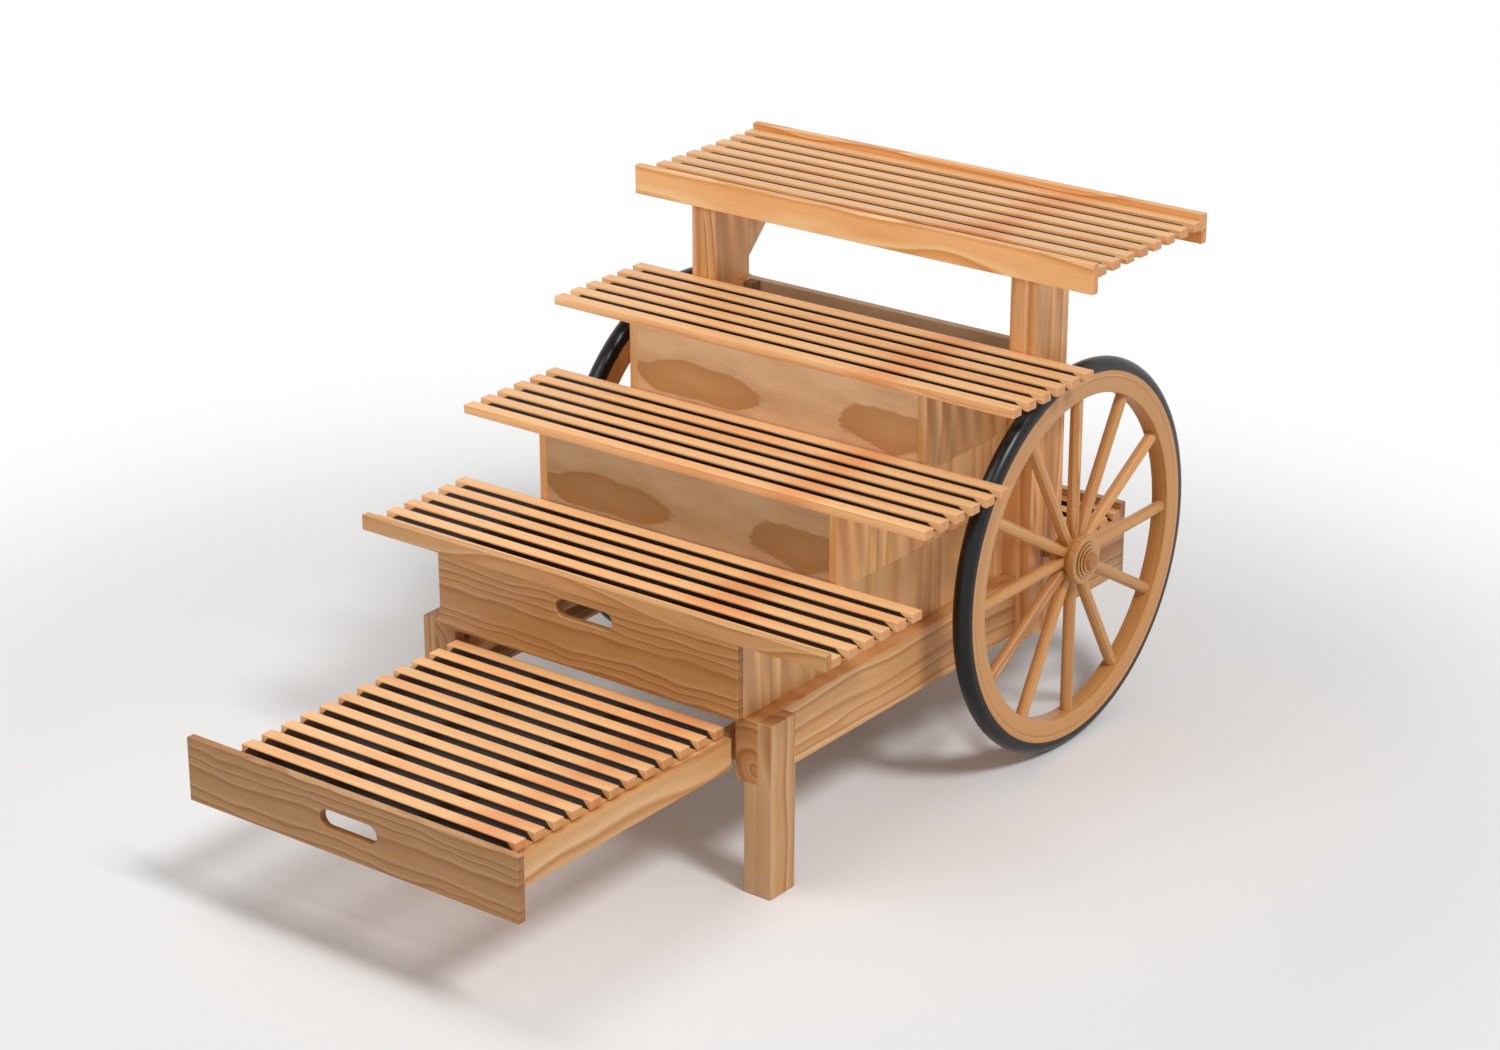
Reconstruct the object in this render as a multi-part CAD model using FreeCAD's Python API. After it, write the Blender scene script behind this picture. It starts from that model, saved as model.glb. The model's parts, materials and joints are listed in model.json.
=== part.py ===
import FreeCAD, Part
import math
import os

# Stepped flower cart stand: millimetres, +Z up, +X to the right, the front faces -Y.
# Lengths along Y are first set out from the front face of the front legs; the whole stand is then
# moved so that the origin is on the floor at the middle of its outline, with the tray drawn out.

# ---------------------------------------------------------------- driving dimensions
shelf_length = 1118.0        # 44 in, tip to tip of every shelf slat
crate_width = 724.0          # outside of the crates
tray_travel = 652.0          # from drawn out to closed

board_t = 18.0               # panels, slats and aprons
plank_t = 31.0               # leg and post planks
rail_t = 50.8                # side rails of the base
rail_height = 127.0
rail_bottom = 228.6          # floor to the underside of the side rails
base_depth = 1273.0          # front of the legs to the rear end of the rails

leg_depth = 75.0
post_depth = 114.3
post_top = 1016.0
post_front = 856.5

tier_rise = 152.4            # height of each crate
tier_run = 286.0             # step back from one crate to the next
crate_depth_1 = 990.0        # front panel face to back panel face of the lowest crate

slat_width = 28.5
slat_pitch = 50.7            # slats of the tray and of the top shelf
shelf_slat_count = 6
top_slat_count = 8
apron_play = 1.2             # apron to the first slat of the lowest shelf
riser_play = 4.0             # last slat of a shelf to the next crate
ledge_play = 1.1             # rear ledge's slats to what stands before and behind them
low_apron_height = 31.5
low_apron_rise = 13.5        # apron top above the slat tops
top_apron_height = 61.0
top_apron_rise = 12.5
top_slat_inset = 1.5         # front of the posts to the first slat of the top shelf
top_apron_play = 2.0         # last slat of the top shelf to the rear apron

tray_front_height = 126.4
tray_panel_lift = 0.2        # front panel's lower edge above the side rails'
tray_board_height = 62.5
tray_slat_count = 13
tray_slat_first_gap = 2.3
tray_tail = 228.0            # how far the runners reach into the base when drawn out
tray_slat_inset = 13.5       # slat end to the outer face of the tray board
tray_side_clearance = 2.2    # tray board to side rail
tray_runner_lift = 3.0       # runner top above the board top, so that the slats rest on it
tray_floor_height = 250.0    # underside of the tray boards
tray_last_slat_setback = 4.3
tray_screw_shares = (0.1, 0.37, 0.64, 0.91)
tray_screw_drop = 10.0       # below the slats

slot_length = 136.0          # hand slots
slot_height = 36.5
tray_slot_height = 294.5     # slot centre above the floor
lift_slot_height = 473.0

wheel_radius = 406.4         # 32 in wheel
tyre_height = 25.4
rim_height = 44.5
rim_width = 38.0
wheel_reach = 81.5           # post to the outer face of the rim
spoke_count = 12
spoke_radius = 12.5
spoke_foot_half = 9.1        # half width between the flats of a spoke's foot, at the barrel
spoke_foot_reach = 104.0     # radius at which the flats run out
spoke_shoulder = 1.4         # how far a spoke's shoulder is let into the barrel
hub_tenon_radius = 6.5
rim_tenon_radius = 8.0
tenon_length = 11.0
tip_relief = 0.4             # keeps a spoke's flat end clear of the rim's curve
hub_barrel_radius = 42.0
hub_barrel_inner = 24.2      # spokes' middle to the inner end of the barrel
hub_barrel_outer = 19.3      # spokes' middle to the flange
hub_flange_radius = 49.7
hub_flange_t = 16.5
hub_ring_radii = (37.4, 31.0, 24.2)
hub_ring_step = 3.3
hub_ease = 1.2
rim_ease = 2.5
tyre_shoulder_share = 0.35   # of the tyre's height
hub_pocket_radius = 20.0
hub_pocket_depth = 29.0
cap_flats = 30.0
cap_length = 7.0
cap_plug = 4.0

axle_radius = 12.7
axle_run_clearance = 0.05    # axle to bush
bush_t = 2.5
washer_t = 2.5
washer_radius = 18.5
spacer_t = 5.7               # between post and bush
axle_hole_clearance = 0.1
axle_tail = 4.0              # axle past its nut
nut_flats = 30.0
nut_t = 12.0

edge_ease = 0.8              # chamfer along the edges of every board
seat_gap = 0.3               # play beside a moving piece
cross_rail_height = 20.8
cross_rail_width = 38.0
guide_width = 27.5
guide_height = 17.0
guide_clearance = 0.4
guide_side_play = 0.6
guide_batten_front = 45.0
groove_lift = 21.4           # groove's lower edge above the runner's
groove_stop = 30.0           # solid end of the runner behind the front panel
groove_depth = 8.0
block_size = 25.0
rib_height = 38.0
rib_offset = 120.0
ledge_rib_height = 18.0
tray_rib_height = 21.5
tray_rib_offset = 100.0
brace_reach = 131.0
bearer_height = 30.5

lag_radius = 4.0
lag_head_radius = 8.0
lag_head_t = 6.0
lag_pocket_radius = 11.0
lag_pocket_depth = 8.0
lag_bite = 24.0
lag_low_share = 0.28         # of the rail's height
lag_high_share = 0.74
lag_post_share = 0.2         # of the post's depth, from either face
lag_clearance = 0.05
screw_radius = 2.0
screw_head_radius = 4.0
screw_head_t = 3.0
screw_head_sink = 0.2

# ---------------------------------------------------------------- derived positions
half_crate = crate_width / 2.0
half_shelf = shelf_length / 2.0
rail_outer = half_crate + plank_t
rail_inner = rail_outer - rail_t
post_outer = rail_outer + plank_t
wheel_outer_face = post_outer + wheel_reach
rail_top = rail_bottom + rail_height
post_back = post_front + post_depth
crate_back = post_back
crate_1_front = crate_back - crate_depth_1
crate_2_front = tier_run
crate_3_front = 2.0 * tier_run
shelf_1_first = crate_1_front + board_t + apron_play
shelf_1_end = crate_2_front - riser_play
shelf_2_end = crate_3_front - riser_play
shelf_3_end = crate_3_front + tier_run - riser_play
slat_t = board_t
inside_half = half_crate - board_t
panel_back = crate_back - board_t

tray_open_front = -(tray_travel + board_t)
tray_board_outer = rail_inner - tray_side_clearance
tray_board_inner = tray_board_outer - board_t
tray_runner_inner = tray_board_inner - board_t
tray_panel_back = tray_open_front + board_t
tray_slat_base = tray_floor_height + tray_board_height + tray_runner_lift
tray_runner_base = tray_floor_height + tray_runner_lift
tray_slat_first = tray_panel_back + tray_slat_first_gap
tray_slats_end = tray_slat_first + (tray_slat_count - 1) * slat_pitch + slat_width
tray_board_end = tray_slats_end + tray_last_slat_setback
tray_half_slat = tray_board_outer - tray_slat_inset
groove_bottom = tray_runner_base + groove_lift
guide_base = groove_bottom + guide_clearance

axle_y = post_front + post_depth / 2.0
axle_z = wheel_radius
wheel_inner_face = wheel_outer_face - rim_width
spoke_plane = (wheel_outer_face + wheel_inner_face) / 2.0
rim_outer_radius = wheel_radius - tyre_height
rim_inner_radius = rim_outer_radius - rim_height
hub_inner_face = spoke_plane - hub_barrel_inner
flange_inner = spoke_plane + hub_barrel_outer
flange_outer = flange_inner + hub_flange_t
hub_end = flange_outer + len(hub_ring_radii) * hub_ring_step
bush_inner = post_outer + spacer_t + seat_gap
bush_outer = hub_end - hub_pocket_depth
nut_end = bush_outer + seat_gap + washer_t + nut_t
axle_end = nut_end + axle_tail

cross_rail_fronts = (60.0, 560.0, 850.0)
middle_y = (tray_open_front + axle_y + wheel_radius) / 2.0


# ---------------------------------------------------------------- helpers
def block(x0, x1, y0, y1, z0, z1):
    """Plain rectangular solid between two corners."""
    return Part.makeBox(x1 - x0, y1 - y0, z1 - z0, FreeCAD.Vector(x0, y0, z0))


def board(x0, x1, y0, y1, z0, z1):
    """Sawn board with every edge eased."""
    solid = block(x0, x1, y0, y1, z0, z1)
    return solid.makeChamfer(edge_ease, solid.Edges)


def rod(x0, x1, y, z, radius):
    """Round bar along X."""
    return Part.makeCylinder(radius, x1 - x0, FreeCAD.Vector(x0, y, z), FreeCAD.Vector(1, 0, 0))


def prism(x0, x1, y, z, across_corners_radius, sides):
    """Regular prism along X."""
    points = []
    for index in range(sides + 1):
        angle = 2.0 * math.pi * (index + 0.5) / sides
        points.append(FreeCAD.Vector(x0, y + across_corners_radius * math.cos(angle),
                                     z + across_corners_radius * math.sin(angle)))
    face = Part.Face(Part.makePolygon(points))
    return face.extrude(FreeCAD.Vector(x1 - x0, 0, 0))


def mirrored(shape):
    """The same shape on the other side of the centre line."""
    return shape.mirror(FreeCAD.Vector(0, 0, 0), FreeCAD.Vector(1, 0, 0))


def both_sides(shapes):
    """Each right-hand shape together with its left-hand twin."""
    return shapes + [mirrored(shape) for shape in shapes]


def save(node, shapes):
    """Move the solids of one node to the stand's own origin and write them as one STEP file."""
    solids = []
    for shape in shapes:
        solids.extend(shape.Solids)
    moved = Part.makeCompound(solids)
    moved.translate(FreeCAD.Vector(0, -middle_y, 0))
    moved.exportStep(os.path.join("parts", node + ".step"))


def hand_slot(y0, y1, z):
    """Cutter for a round-ended hand slot through a front panel."""
    radius = slot_height / 2.0
    half = slot_length / 2.0 - radius
    cutter = block(-half, half, y0, y1, z - radius, z + radius)
    for x in (-half, half):
        end = Part.makeCylinder(radius, y1 - y0, FreeCAD.Vector(x, y0, z), FreeCAD.Vector(0, 1, 0))
        cutter = cutter.fuse(end)
    return cutter


def slotted_panel(x_half, y0, z0, z1, slot_z):
    """Front panel with eased edges and a hand slot whose rim is eased too."""
    panel = board(-x_half, x_half, y0, y0 + board_t, z0, z1)
    panel = panel.cut(hand_slot(y0 - 1.0, y0 + board_t + 1.0, slot_z)).removeSplitter()
    rim = []
    for edge in panel.Edges:
        box = edge.BoundBox
        inside = abs(box.Center.x) < slot_length / 2.0 + 1.0
        inside = inside and abs(box.Center.z - slot_z) < slot_height / 2.0 + 1.0
        if inside and box.YLength < 0.01:
            rim.append(edge)
    return panel.makeChamfer(2.0 * edge_ease, rim)


def slat_row(half, first, count, base, pitch=slat_pitch):
    """Slats laid across the stand, one solid each."""
    row = []
    for index in range(count):
        front = first + index * pitch
        row.append(board(-half, half, front, front + slat_width, base, base + slat_t))
    return row


def shelf_slats(half, first, end, base):
    """A shelf's slats, spread evenly from its first slat's front to its last slat's back."""
    pitch = (end - first - slat_width) / (shelf_slat_count - 1)
    return slat_row(half, first, shelf_slat_count, base, pitch)


# ---------------------------------------------------------------- base
def lag_places():
    """Positions (y, z) of the lag screws that hold the outer planks to the side rails."""
    leg_mid = leg_depth / 2.0
    low = rail_bottom + lag_low_share * rail_height
    high = rail_bottom + lag_high_share * rail_height
    places = [(leg_mid, low), (leg_mid, high)]
    for y in (post_front + lag_post_share * post_depth, post_back - lag_post_share * post_depth):
        places.append((y, low))
    return places


def lag_hole():
    """Cutters for the lag screws: shank holes and the pockets for their heads."""
    cutters = []
    for y, z in lag_places():
        hole = lag_radius + lag_clearance
        cutters.append(rod(rail_inner - 1.0, rail_outer + lag_bite + 1.0, y, z, hole))
        cutters.append(rod(rail_inner - 1.0, rail_inner + lag_pocket_depth, y, z, lag_pocket_radius))
    return Part.makeCompound(cutters)


def side_rail():
    rail = board(rail_inner, rail_outer, 0.0, base_depth, rail_bottom, rail_top)
    return rail.cut(lag_hole())


def leg_planks():
    outer = board(rail_outer, post_outer, 0.0, leg_depth, 0.0, rail_top).cut(lag_hole())
    inner = board(half_crate, rail_outer, 0.0, leg_depth, 0.0, rail_bottom)
    return outer, inner


def post_planks():
    hole = rod(half_crate - 1.0, post_outer + 1.0, axle_y, axle_z, axle_radius + axle_hole_clearance)
    outer = board(rail_outer, post_outer, post_front, post_back, rail_bottom, post_top)
    inner = board(half_crate, rail_outer, post_front, post_back, rail_top, post_top)
    return outer.cut(lag_hole()).cut(hole), inner.cut(hole)


def lag_screws():
    screws = []
    for y, z in lag_places():
        head_face = rail_inner + lag_pocket_depth
        head = prism(head_face - lag_head_t, head_face, y, z, lag_head_radius, 6)
        screws.append(head.fuse(rod(head_face, rail_outer + lag_bite, y, z, lag_radius)))
    return both_sides(screws)


def cross_rails():
    rails = []
    for front in cross_rail_fronts:
        rails.append(board(-rail_inner, rail_inner, front, front + cross_rail_width,
                           rail_bottom, rail_bottom + cross_rail_height))
    return rails


def guide_blocks():
    outer = tray_runner_inner - guide_side_play
    blocks = []
    for front in cross_rail_fronts:
        blocks.append(block(outer - guide_width + groove_depth, outer, front, front + cross_rail_width,
                            rail_bottom + cross_rail_height, guide_base))
    return both_sides(blocks)


def guide_battens():
    outer = tray_runner_inner + groove_depth - guide_side_play
    batten = block(outer - guide_width, outer, guide_batten_front, cross_rail_fronts[-1] + cross_rail_width,
                   guide_base, guide_base + guide_height)
    return both_sides([batten])


def rear_tie():
    return [board(-rail_inner, rail_inner, base_depth - board_t, base_depth, rail_bottom, rail_top)]


# ---------------------------------------------------------------- crates
def crate_floor(level):
    return rail_top + (level - 1) * tier_rise


def crate_sides(level, front):
    side = board(inside_half, half_crate, front, panel_back, crate_floor(level), crate_floor(level + 1))
    if level == 1:
        hole_radius = axle_radius + axle_hole_clearance
        side = side.cut(rod(inside_half - 1.0, half_crate + 1.0, axle_y, axle_z, hole_radius))
    return both_sides([side])


def crate_back_panel(level):
    return [board(-half_crate, half_crate, panel_back, crate_back, crate_floor(level),
                  crate_floor(level + 1))]


def crate_front_panel(level, front):
    return [board(-inside_half, inside_half, front, front + board_t, crate_floor(level),
                  crate_floor(level + 1))]


def corner_blocks():
    blocks = []
    inner = inside_half - block_size
    backs = (crate_1_front + board_t, crate_2_front + board_t, crate_3_front + board_t)
    for level, front in zip((1, 2, 3), backs):
        low = crate_floor(level)
        high = crate_floor(level + 1)
        blocks.append(board(inner, inside_half, front, front + block_size, low, high))
        blocks.append(board(inner, inside_half, panel_back - block_size, panel_back, low, high))
    return both_sides(blocks)


def shelf_ribs():
    ribs = []
    starts = (crate_1_front + board_t, crate_2_front + board_t)
    for level, front in zip((1, 2), starts):
        top = crate_floor(level + 1)
        ribs.append(board(rib_offset, rib_offset + board_t, front, panel_back, top - rib_height, top))
    top = crate_floor(4)
    ribs.append(board(rib_offset, rib_offset + board_t, crate_3_front + board_t, shelf_3_end - board_t,
                      top - rib_height, top))
    return both_sides(ribs)


def shelf_3_bearer():
    top = crate_floor(4)
    return [board(-inside_half, inside_half, shelf_3_end - board_t, shelf_3_end, top - rib_height, top)]


def low_apron(half, front, slat_top):
    top = slat_top + low_apron_rise
    return [board(-half, half, front, front + board_t, top - low_apron_height, top)]


# ---------------------------------------------------------------- rear ledge
def ledge_bearer():
    return [board(-rail_inner, rail_inner, panel_back, crate_back, rail_top - rib_height, rail_top)]


def ledge_ribs():
    rib = board(rib_offset, rib_offset + board_t, crate_back, base_depth - board_t,
                rail_top - ledge_rib_height, rail_top)
    return both_sides([rib])


# ---------------------------------------------------------------- top shelf
def top_aprons():
    top = post_top + slat_t + top_apron_rise
    front = board(-half_shelf, half_shelf, post_front - board_t, post_front, top - top_apron_height, top)
    back_face = top_shelf_back()
    back = board(-half_shelf, half_shelf, back_face, back_face + board_t, top - top_apron_height, top)
    return front, back


def top_shelf_back():
    """Front face of the rear apron, just behind the last slat of the top shelf."""
    return post_front + top_slat_inset + (top_slat_count - 1) * slat_pitch + slat_width + top_apron_play


def top_bearers():
    low = post_top - bearer_height
    side = board(half_crate, half_crate + board_t, post_back, top_shelf_back(), low, post_top)
    middle = board(-board_t / 2.0, board_t / 2.0, post_front, top_shelf_back(), low, post_top)
    return both_sides([side]) + [middle]


def top_braces():
    high = post_top - bearer_height
    points = [FreeCAD.Vector(half_crate, post_back, high),
              FreeCAD.Vector(half_crate, post_back + brace_reach, high),
              FreeCAD.Vector(half_crate, post_back, high - brace_reach),
              FreeCAD.Vector(half_crate, post_back, high)]
    brace = Part.Face(Part.makePolygon(points)).extrude(FreeCAD.Vector(board_t, 0, 0))
    return both_sides([brace])


# ---------------------------------------------------------------- pull-out tray
def tray_panel():
    low = rail_bottom + tray_panel_lift
    return [slotted_panel(rail_outer, tray_open_front, low, low + tray_front_height, tray_slot_height)]


def tray_boards():
    return both_sides([board(tray_board_inner, tray_board_outer, tray_panel_back, tray_board_end,
                             tray_floor_height, tray_floor_height + tray_board_height)])


def tray_screw_places():
    span = tray_board_end - tray_panel_back
    height = tray_slat_base - tray_screw_drop
    return [(tray_panel_back + span * share, height) for share in tray_screw_shares]


def tray_runners():
    runner = board(tray_runner_inner, tray_board_inner, tray_panel_back, tray_tail,
                   tray_runner_base, tray_slat_base)
    groove = block(tray_runner_inner - 1.0, tray_runner_inner + groove_depth,
                   tray_panel_back + groove_stop, tray_tail + 1.0, groove_bottom,
                   guide_base + guide_height + guide_clearance)
    runner = runner.cut(groove)
    for y, z in tray_screw_places():
        runner = runner.cut(rod(tray_runner_inner - 1.0, tray_runner_inner + screw_head_t, y, z,
                                screw_head_radius + seat_gap))
        runner = runner.cut(rod(tray_runner_inner, tray_board_inner + 1.0, y, z, screw_radius))
    return both_sides([runner])


def tray_screws():
    screws = []
    for y, z in tray_screw_places():
        head = rod(tray_runner_inner + screw_head_sink, tray_runner_inner + screw_head_t, y, z,
                   screw_head_radius)
        shank = rod(tray_runner_inner + screw_head_t, tray_board_inner, y, z, screw_radius)
        screws.append(head.fuse(shank))
    return both_sides(screws)


def tray_cross_rail():
    back = tray_slats_end
    return [board(-tray_runner_inner, tray_runner_inner, back - board_t, back,
                  tray_slat_base - tray_rib_height, tray_slat_base)]


def tray_ribs():
    rib = board(tray_rib_offset, tray_rib_offset + board_t, tray_panel_back, tray_slats_end - board_t,
                tray_slat_base - tray_rib_height, tray_slat_base)
    return both_sides([rib])


def tray_corner_blocks():
    corner = board(tray_runner_inner - block_size, tray_runner_inner, tray_panel_back,
                   tray_panel_back + block_size, tray_runner_base, tray_slat_base)
    return both_sides([corner])


# ---------------------------------------------------------------- wheels and axle
def ring(profile):
    """Turn a closed (x, radius) profile about the axle."""
    points = [FreeCAD.Vector(x, axle_y, axle_z + radius) for x, radius in profile]
    points.append(points[0])
    face = Part.Face(Part.makePolygon(points))
    return face.revolve(FreeCAD.Vector(0, axle_y, axle_z), FreeCAD.Vector(1, 0, 0), 360.0)


def tyre():
    """Solid tyre: flat seat on the rim, straight shoulders and a round crown."""
    shoulder = rim_outer_radius + tyre_shoulder_share * tyre_height
    a = FreeCAD.Vector(wheel_inner_face, axle_y, axle_z + rim_outer_radius)
    b = FreeCAD.Vector(wheel_inner_face, axle_y, axle_z + shoulder)
    top = FreeCAD.Vector(spoke_plane, axle_y, axle_z + wheel_radius)
    c = FreeCAD.Vector(wheel_outer_face, axle_y, axle_z + shoulder)
    d = FreeCAD.Vector(wheel_outer_face, axle_y, axle_z + rim_outer_radius)
    edges = [Part.makeLine(a, b), Part.Arc(b, top, c).toShape(), Part.makeLine(c, d), Part.makeLine(d, a)]
    face = Part.Face(Part.Wire(edges))
    return face.revolve(FreeCAD.Vector(0, axle_y, axle_z), FreeCAD.Vector(1, 0, 0), 360.0)


def spoke_axis(index):
    angle = 2.0 * math.pi * index / spoke_count
    return FreeCAD.Vector(0, math.cos(angle), math.sin(angle))


def spoke_outline(direction, start, end):
    """Flat outline of a spoke in the wheel's plane, pinched at its foot, drawn through its middle."""
    across = direction.cross(FreeCAD.Vector(1, 0, 0))
    centre = FreeCAD.Vector(spoke_plane - 2.0 * spoke_radius, axle_y, axle_z)
    corners = [(start, spoke_foot_half), (spoke_foot_reach, spoke_radius + 0.1), (end, spoke_radius + 0.1)]
    corners += [(radius, -half) for radius, half in reversed(corners)]
    points = [centre + direction * radius + across * half for radius, half in corners]
    points.append(points[0])
    return Part.Face(Part.makePolygon(points)).extrude(FreeCAD.Vector(4.0 * spoke_radius, 0, 0))


def spoke(index):
    """Round spoke with two tapering flats at its foot and a tenon at each end."""
    direction = spoke_axis(index)
    centre = FreeCAD.Vector(spoke_plane, axle_y, axle_z)
    shoulder = hub_barrel_radius - spoke_shoulder
    reach = rim_inner_radius - tip_relief
    body = Part.makeCylinder(spoke_radius, reach - shoulder, centre + direction * shoulder, direction)
    body = body.common(spoke_outline(direction, shoulder - 1.0, reach + 1.0))
    root = Part.makeCylinder(hub_tenon_radius, tenon_length, centre + direction * (shoulder - tenon_length),
                             direction)
    tip = Part.makeCylinder(rim_tenon_radius, tenon_length, centre + direction * reach, direction)
    return body.fuse(root).fuse(tip)


def rim():
    eased = rim_inner_radius + rim_ease
    shape = ring([(wheel_inner_face, eased), (wheel_inner_face + rim_ease, rim_inner_radius),
                  (wheel_outer_face - rim_ease, rim_inner_radius), (wheel_outer_face, eased),
                  (wheel_outer_face, rim_outer_radius), (wheel_inner_face, rim_outer_radius)])
    centre = FreeCAD.Vector(spoke_plane, axle_y, axle_z)
    for index in range(spoke_count):
        direction = spoke_axis(index)
        start = centre + direction * (rim_inner_radius - rim_ease)
        depth = rim_ease + tenon_length - tip_relief
        shape = shape.cut(Part.makeCylinder(rim_tenon_radius, depth, start, direction))
    return shape


def hub():
    """Turned hub: barrel for the spokes, one wide flange, then three stepped rings."""
    bore = axle_radius + axle_run_clearance + bush_t
    profile = [(hub_inner_face, bore), (hub_inner_face, hub_barrel_radius - hub_ease),
               (hub_inner_face + hub_ease, hub_barrel_radius), (flange_inner, hub_barrel_radius),
               (flange_inner, hub_flange_radius - hub_ease), (flange_inner + hub_ease, hub_flange_radius),
               (flange_outer - hub_ease, hub_flange_radius), (flange_outer, hub_flange_radius - hub_ease)]
    x = flange_outer
    for radius in hub_ring_radii:
        profile.append((x, radius))
        profile.append((x + hub_ring_step - hub_ease / 2.0, radius))
        x += hub_ring_step
        profile.append((x, radius - hub_ease / 2.0))
    profile.append((hub_end, hub_pocket_radius))
    profile.append((bush_outer, hub_pocket_radius))
    profile.append((bush_outer, bore))
    shape = ring(profile)
    for index in range(spoke_count):
        shape = shape.cut(spoke(index))
    return shape


def bush():
    inner = axle_radius + axle_run_clearance
    outer = inner + bush_t
    return ring([(bush_inner, inner), (bush_outer, inner), (bush_outer, outer), (bush_inner, outer)])


def cap():
    """Six-sided wooden cap that closes the hub over the axle nut."""
    plug = rod(hub_end - cap_plug, hub_end, axle_y, axle_z, hub_pocket_radius)
    corner = cap_flats / 2.0 / math.cos(math.pi / 6.0)
    return plug.fuse(prism(hub_end, hub_end + cap_length, axle_y, axle_z, corner, 6))


def axle():
    return rod(-axle_end, axle_end, axle_y, axle_z, axle_radius)


def axle_washers():
    hole = rod(-axle_end, axle_end, axle_y, axle_z, axle_radius)
    inner = rod(post_outer, post_outer + spacer_t, axle_y, axle_z, washer_radius).cut(hole)
    outer = rod(bush_outer + seat_gap, bush_outer + seat_gap + washer_t, axle_y, axle_z,
                washer_radius).cut(hole)
    return both_sides([inner, outer])


def axle_nuts():
    start = bush_outer + seat_gap + washer_t
    corner = nut_flats / 2.0 / math.cos(math.pi / 6.0)
    nut = prism(start, nut_end, axle_y, axle_z, corner, 6)
    return both_sides([nut.cut(rod(0.0, axle_end, axle_y, axle_z, axle_radius))])


# ---------------------------------------------------------------- write every node
def save_base():
    rail = side_rail()
    save("side_rail_right", [rail])
    save("side_rail_left", [mirrored(rail)])
    leg_outer, leg_inner = leg_planks()
    save("leg_outer_planks", both_sides([leg_outer]))
    save("leg_inner_planks", both_sides([leg_inner]))
    post_outer_plank, post_inner_plank = post_planks()
    save("post_outer_planks", both_sides([post_outer_plank]))
    save("post_inner_planks", both_sides([post_inner_plank]))
    save("lag_screws", lag_screws())
    save("cross_rails", cross_rails())
    save("tray_guide_blocks", guide_blocks())
    save("tray_guide_battens", guide_battens())
    save("rear_tie_board", rear_tie())


def save_crates():
    fronts = (crate_1_front + board_t, crate_2_front, crate_3_front)
    for level, front in zip((1, 2, 3), fronts):
        save("crate_%d_sides" % level, crate_sides(level, front))
        save("crate_%d_back" % level, crate_back_panel(level))
    save("crate_1_front", [slotted_panel(half_crate, crate_1_front, crate_floor(1), crate_floor(2),
                                         lift_slot_height)])
    save("crate_2_front", crate_front_panel(2, crate_2_front))
    save("crate_3_front", crate_front_panel(3, crate_3_front))
    save("crate_corner_blocks", corner_blocks())


def save_shelves():
    save("shelf_ribs", shelf_ribs())
    save("shelf_3_bearer", shelf_3_bearer())
    spans = ((shelf_1_first, shelf_1_end), (crate_2_front, shelf_2_end), (crate_3_front, shelf_3_end))
    for level, (first, end) in zip((1, 2, 3), spans):
        save("shelf_%d_slats" % level, shelf_slats(half_shelf, first, end, crate_floor(level + 1)))
    save("shelf_1_apron", low_apron(half_shelf, crate_1_front, crate_floor(2) + slat_t))
    save("ledge_slats", shelf_slats(rail_outer, crate_back + ledge_play,
                                    base_depth - board_t - ledge_play, rail_top))
    save("ledge_apron", low_apron(rail_outer, base_depth - board_t, rail_top + slat_t))
    save("ledge_bearer", ledge_bearer())
    save("ledge_ribs", ledge_ribs())
    save("top_slats", slat_row(half_shelf, post_front + top_slat_inset, top_slat_count, post_top))
    apron_front, apron_back = top_aprons()
    save("top_apron_front", [apron_front])
    save("top_apron_back", [apron_back])
    save("top_bearers", top_bearers())
    save("top_braces", top_braces())


def save_tray():
    save("tray_front_panel", tray_panel())
    save("tray_side_boards", tray_boards())
    save("tray_runners", tray_runners())
    save("tray_slats", slat_row(tray_half_slat, tray_slat_first, tray_slat_count, tray_slat_base))
    save("tray_cross_rail", tray_cross_rail())
    save("tray_ribs", tray_ribs())
    save("tray_corner_blocks", tray_corner_blocks())
    save("tray_screws", tray_screws())


def save_wheels():
    spokes = [spoke(index) for index in range(spoke_count)]
    right = {"tyre": [tyre()], "rim": [rim()], "spokes": spokes, "hub": [hub()], "bush": [bush()],
             "cap": [cap()]}
    for name, shapes in right.items():
        save("wheel_right_" + name, shapes)
        save("wheel_left_" + name, [mirrored(shape) for shape in shapes])
    save("axle", [axle()])
    save("axle_washers", axle_washers())
    save("axle_nuts", axle_nuts())


def main():
    os.makedirs("parts", exist_ok=True)
    save_base()
    save_crates()
    save_shelves()
    save_tray()
    save_wheels()


main()
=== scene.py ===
"""Stepped pine flower cart stand: slatted shelves, a pull-out tray, two spoked wheels.

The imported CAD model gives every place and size. This script saws each board out of its own piece of
log, lays the slat rows and the spokes with geometry nodes, turns the wheels, and lights the stand.
All lengths are metres, unless a name ends in _mm.
"""

from __future__ import annotations

import json
import logging
import math
import random
from dataclasses import dataclass
from enum import Enum
from typing import Any, Iterable

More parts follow.
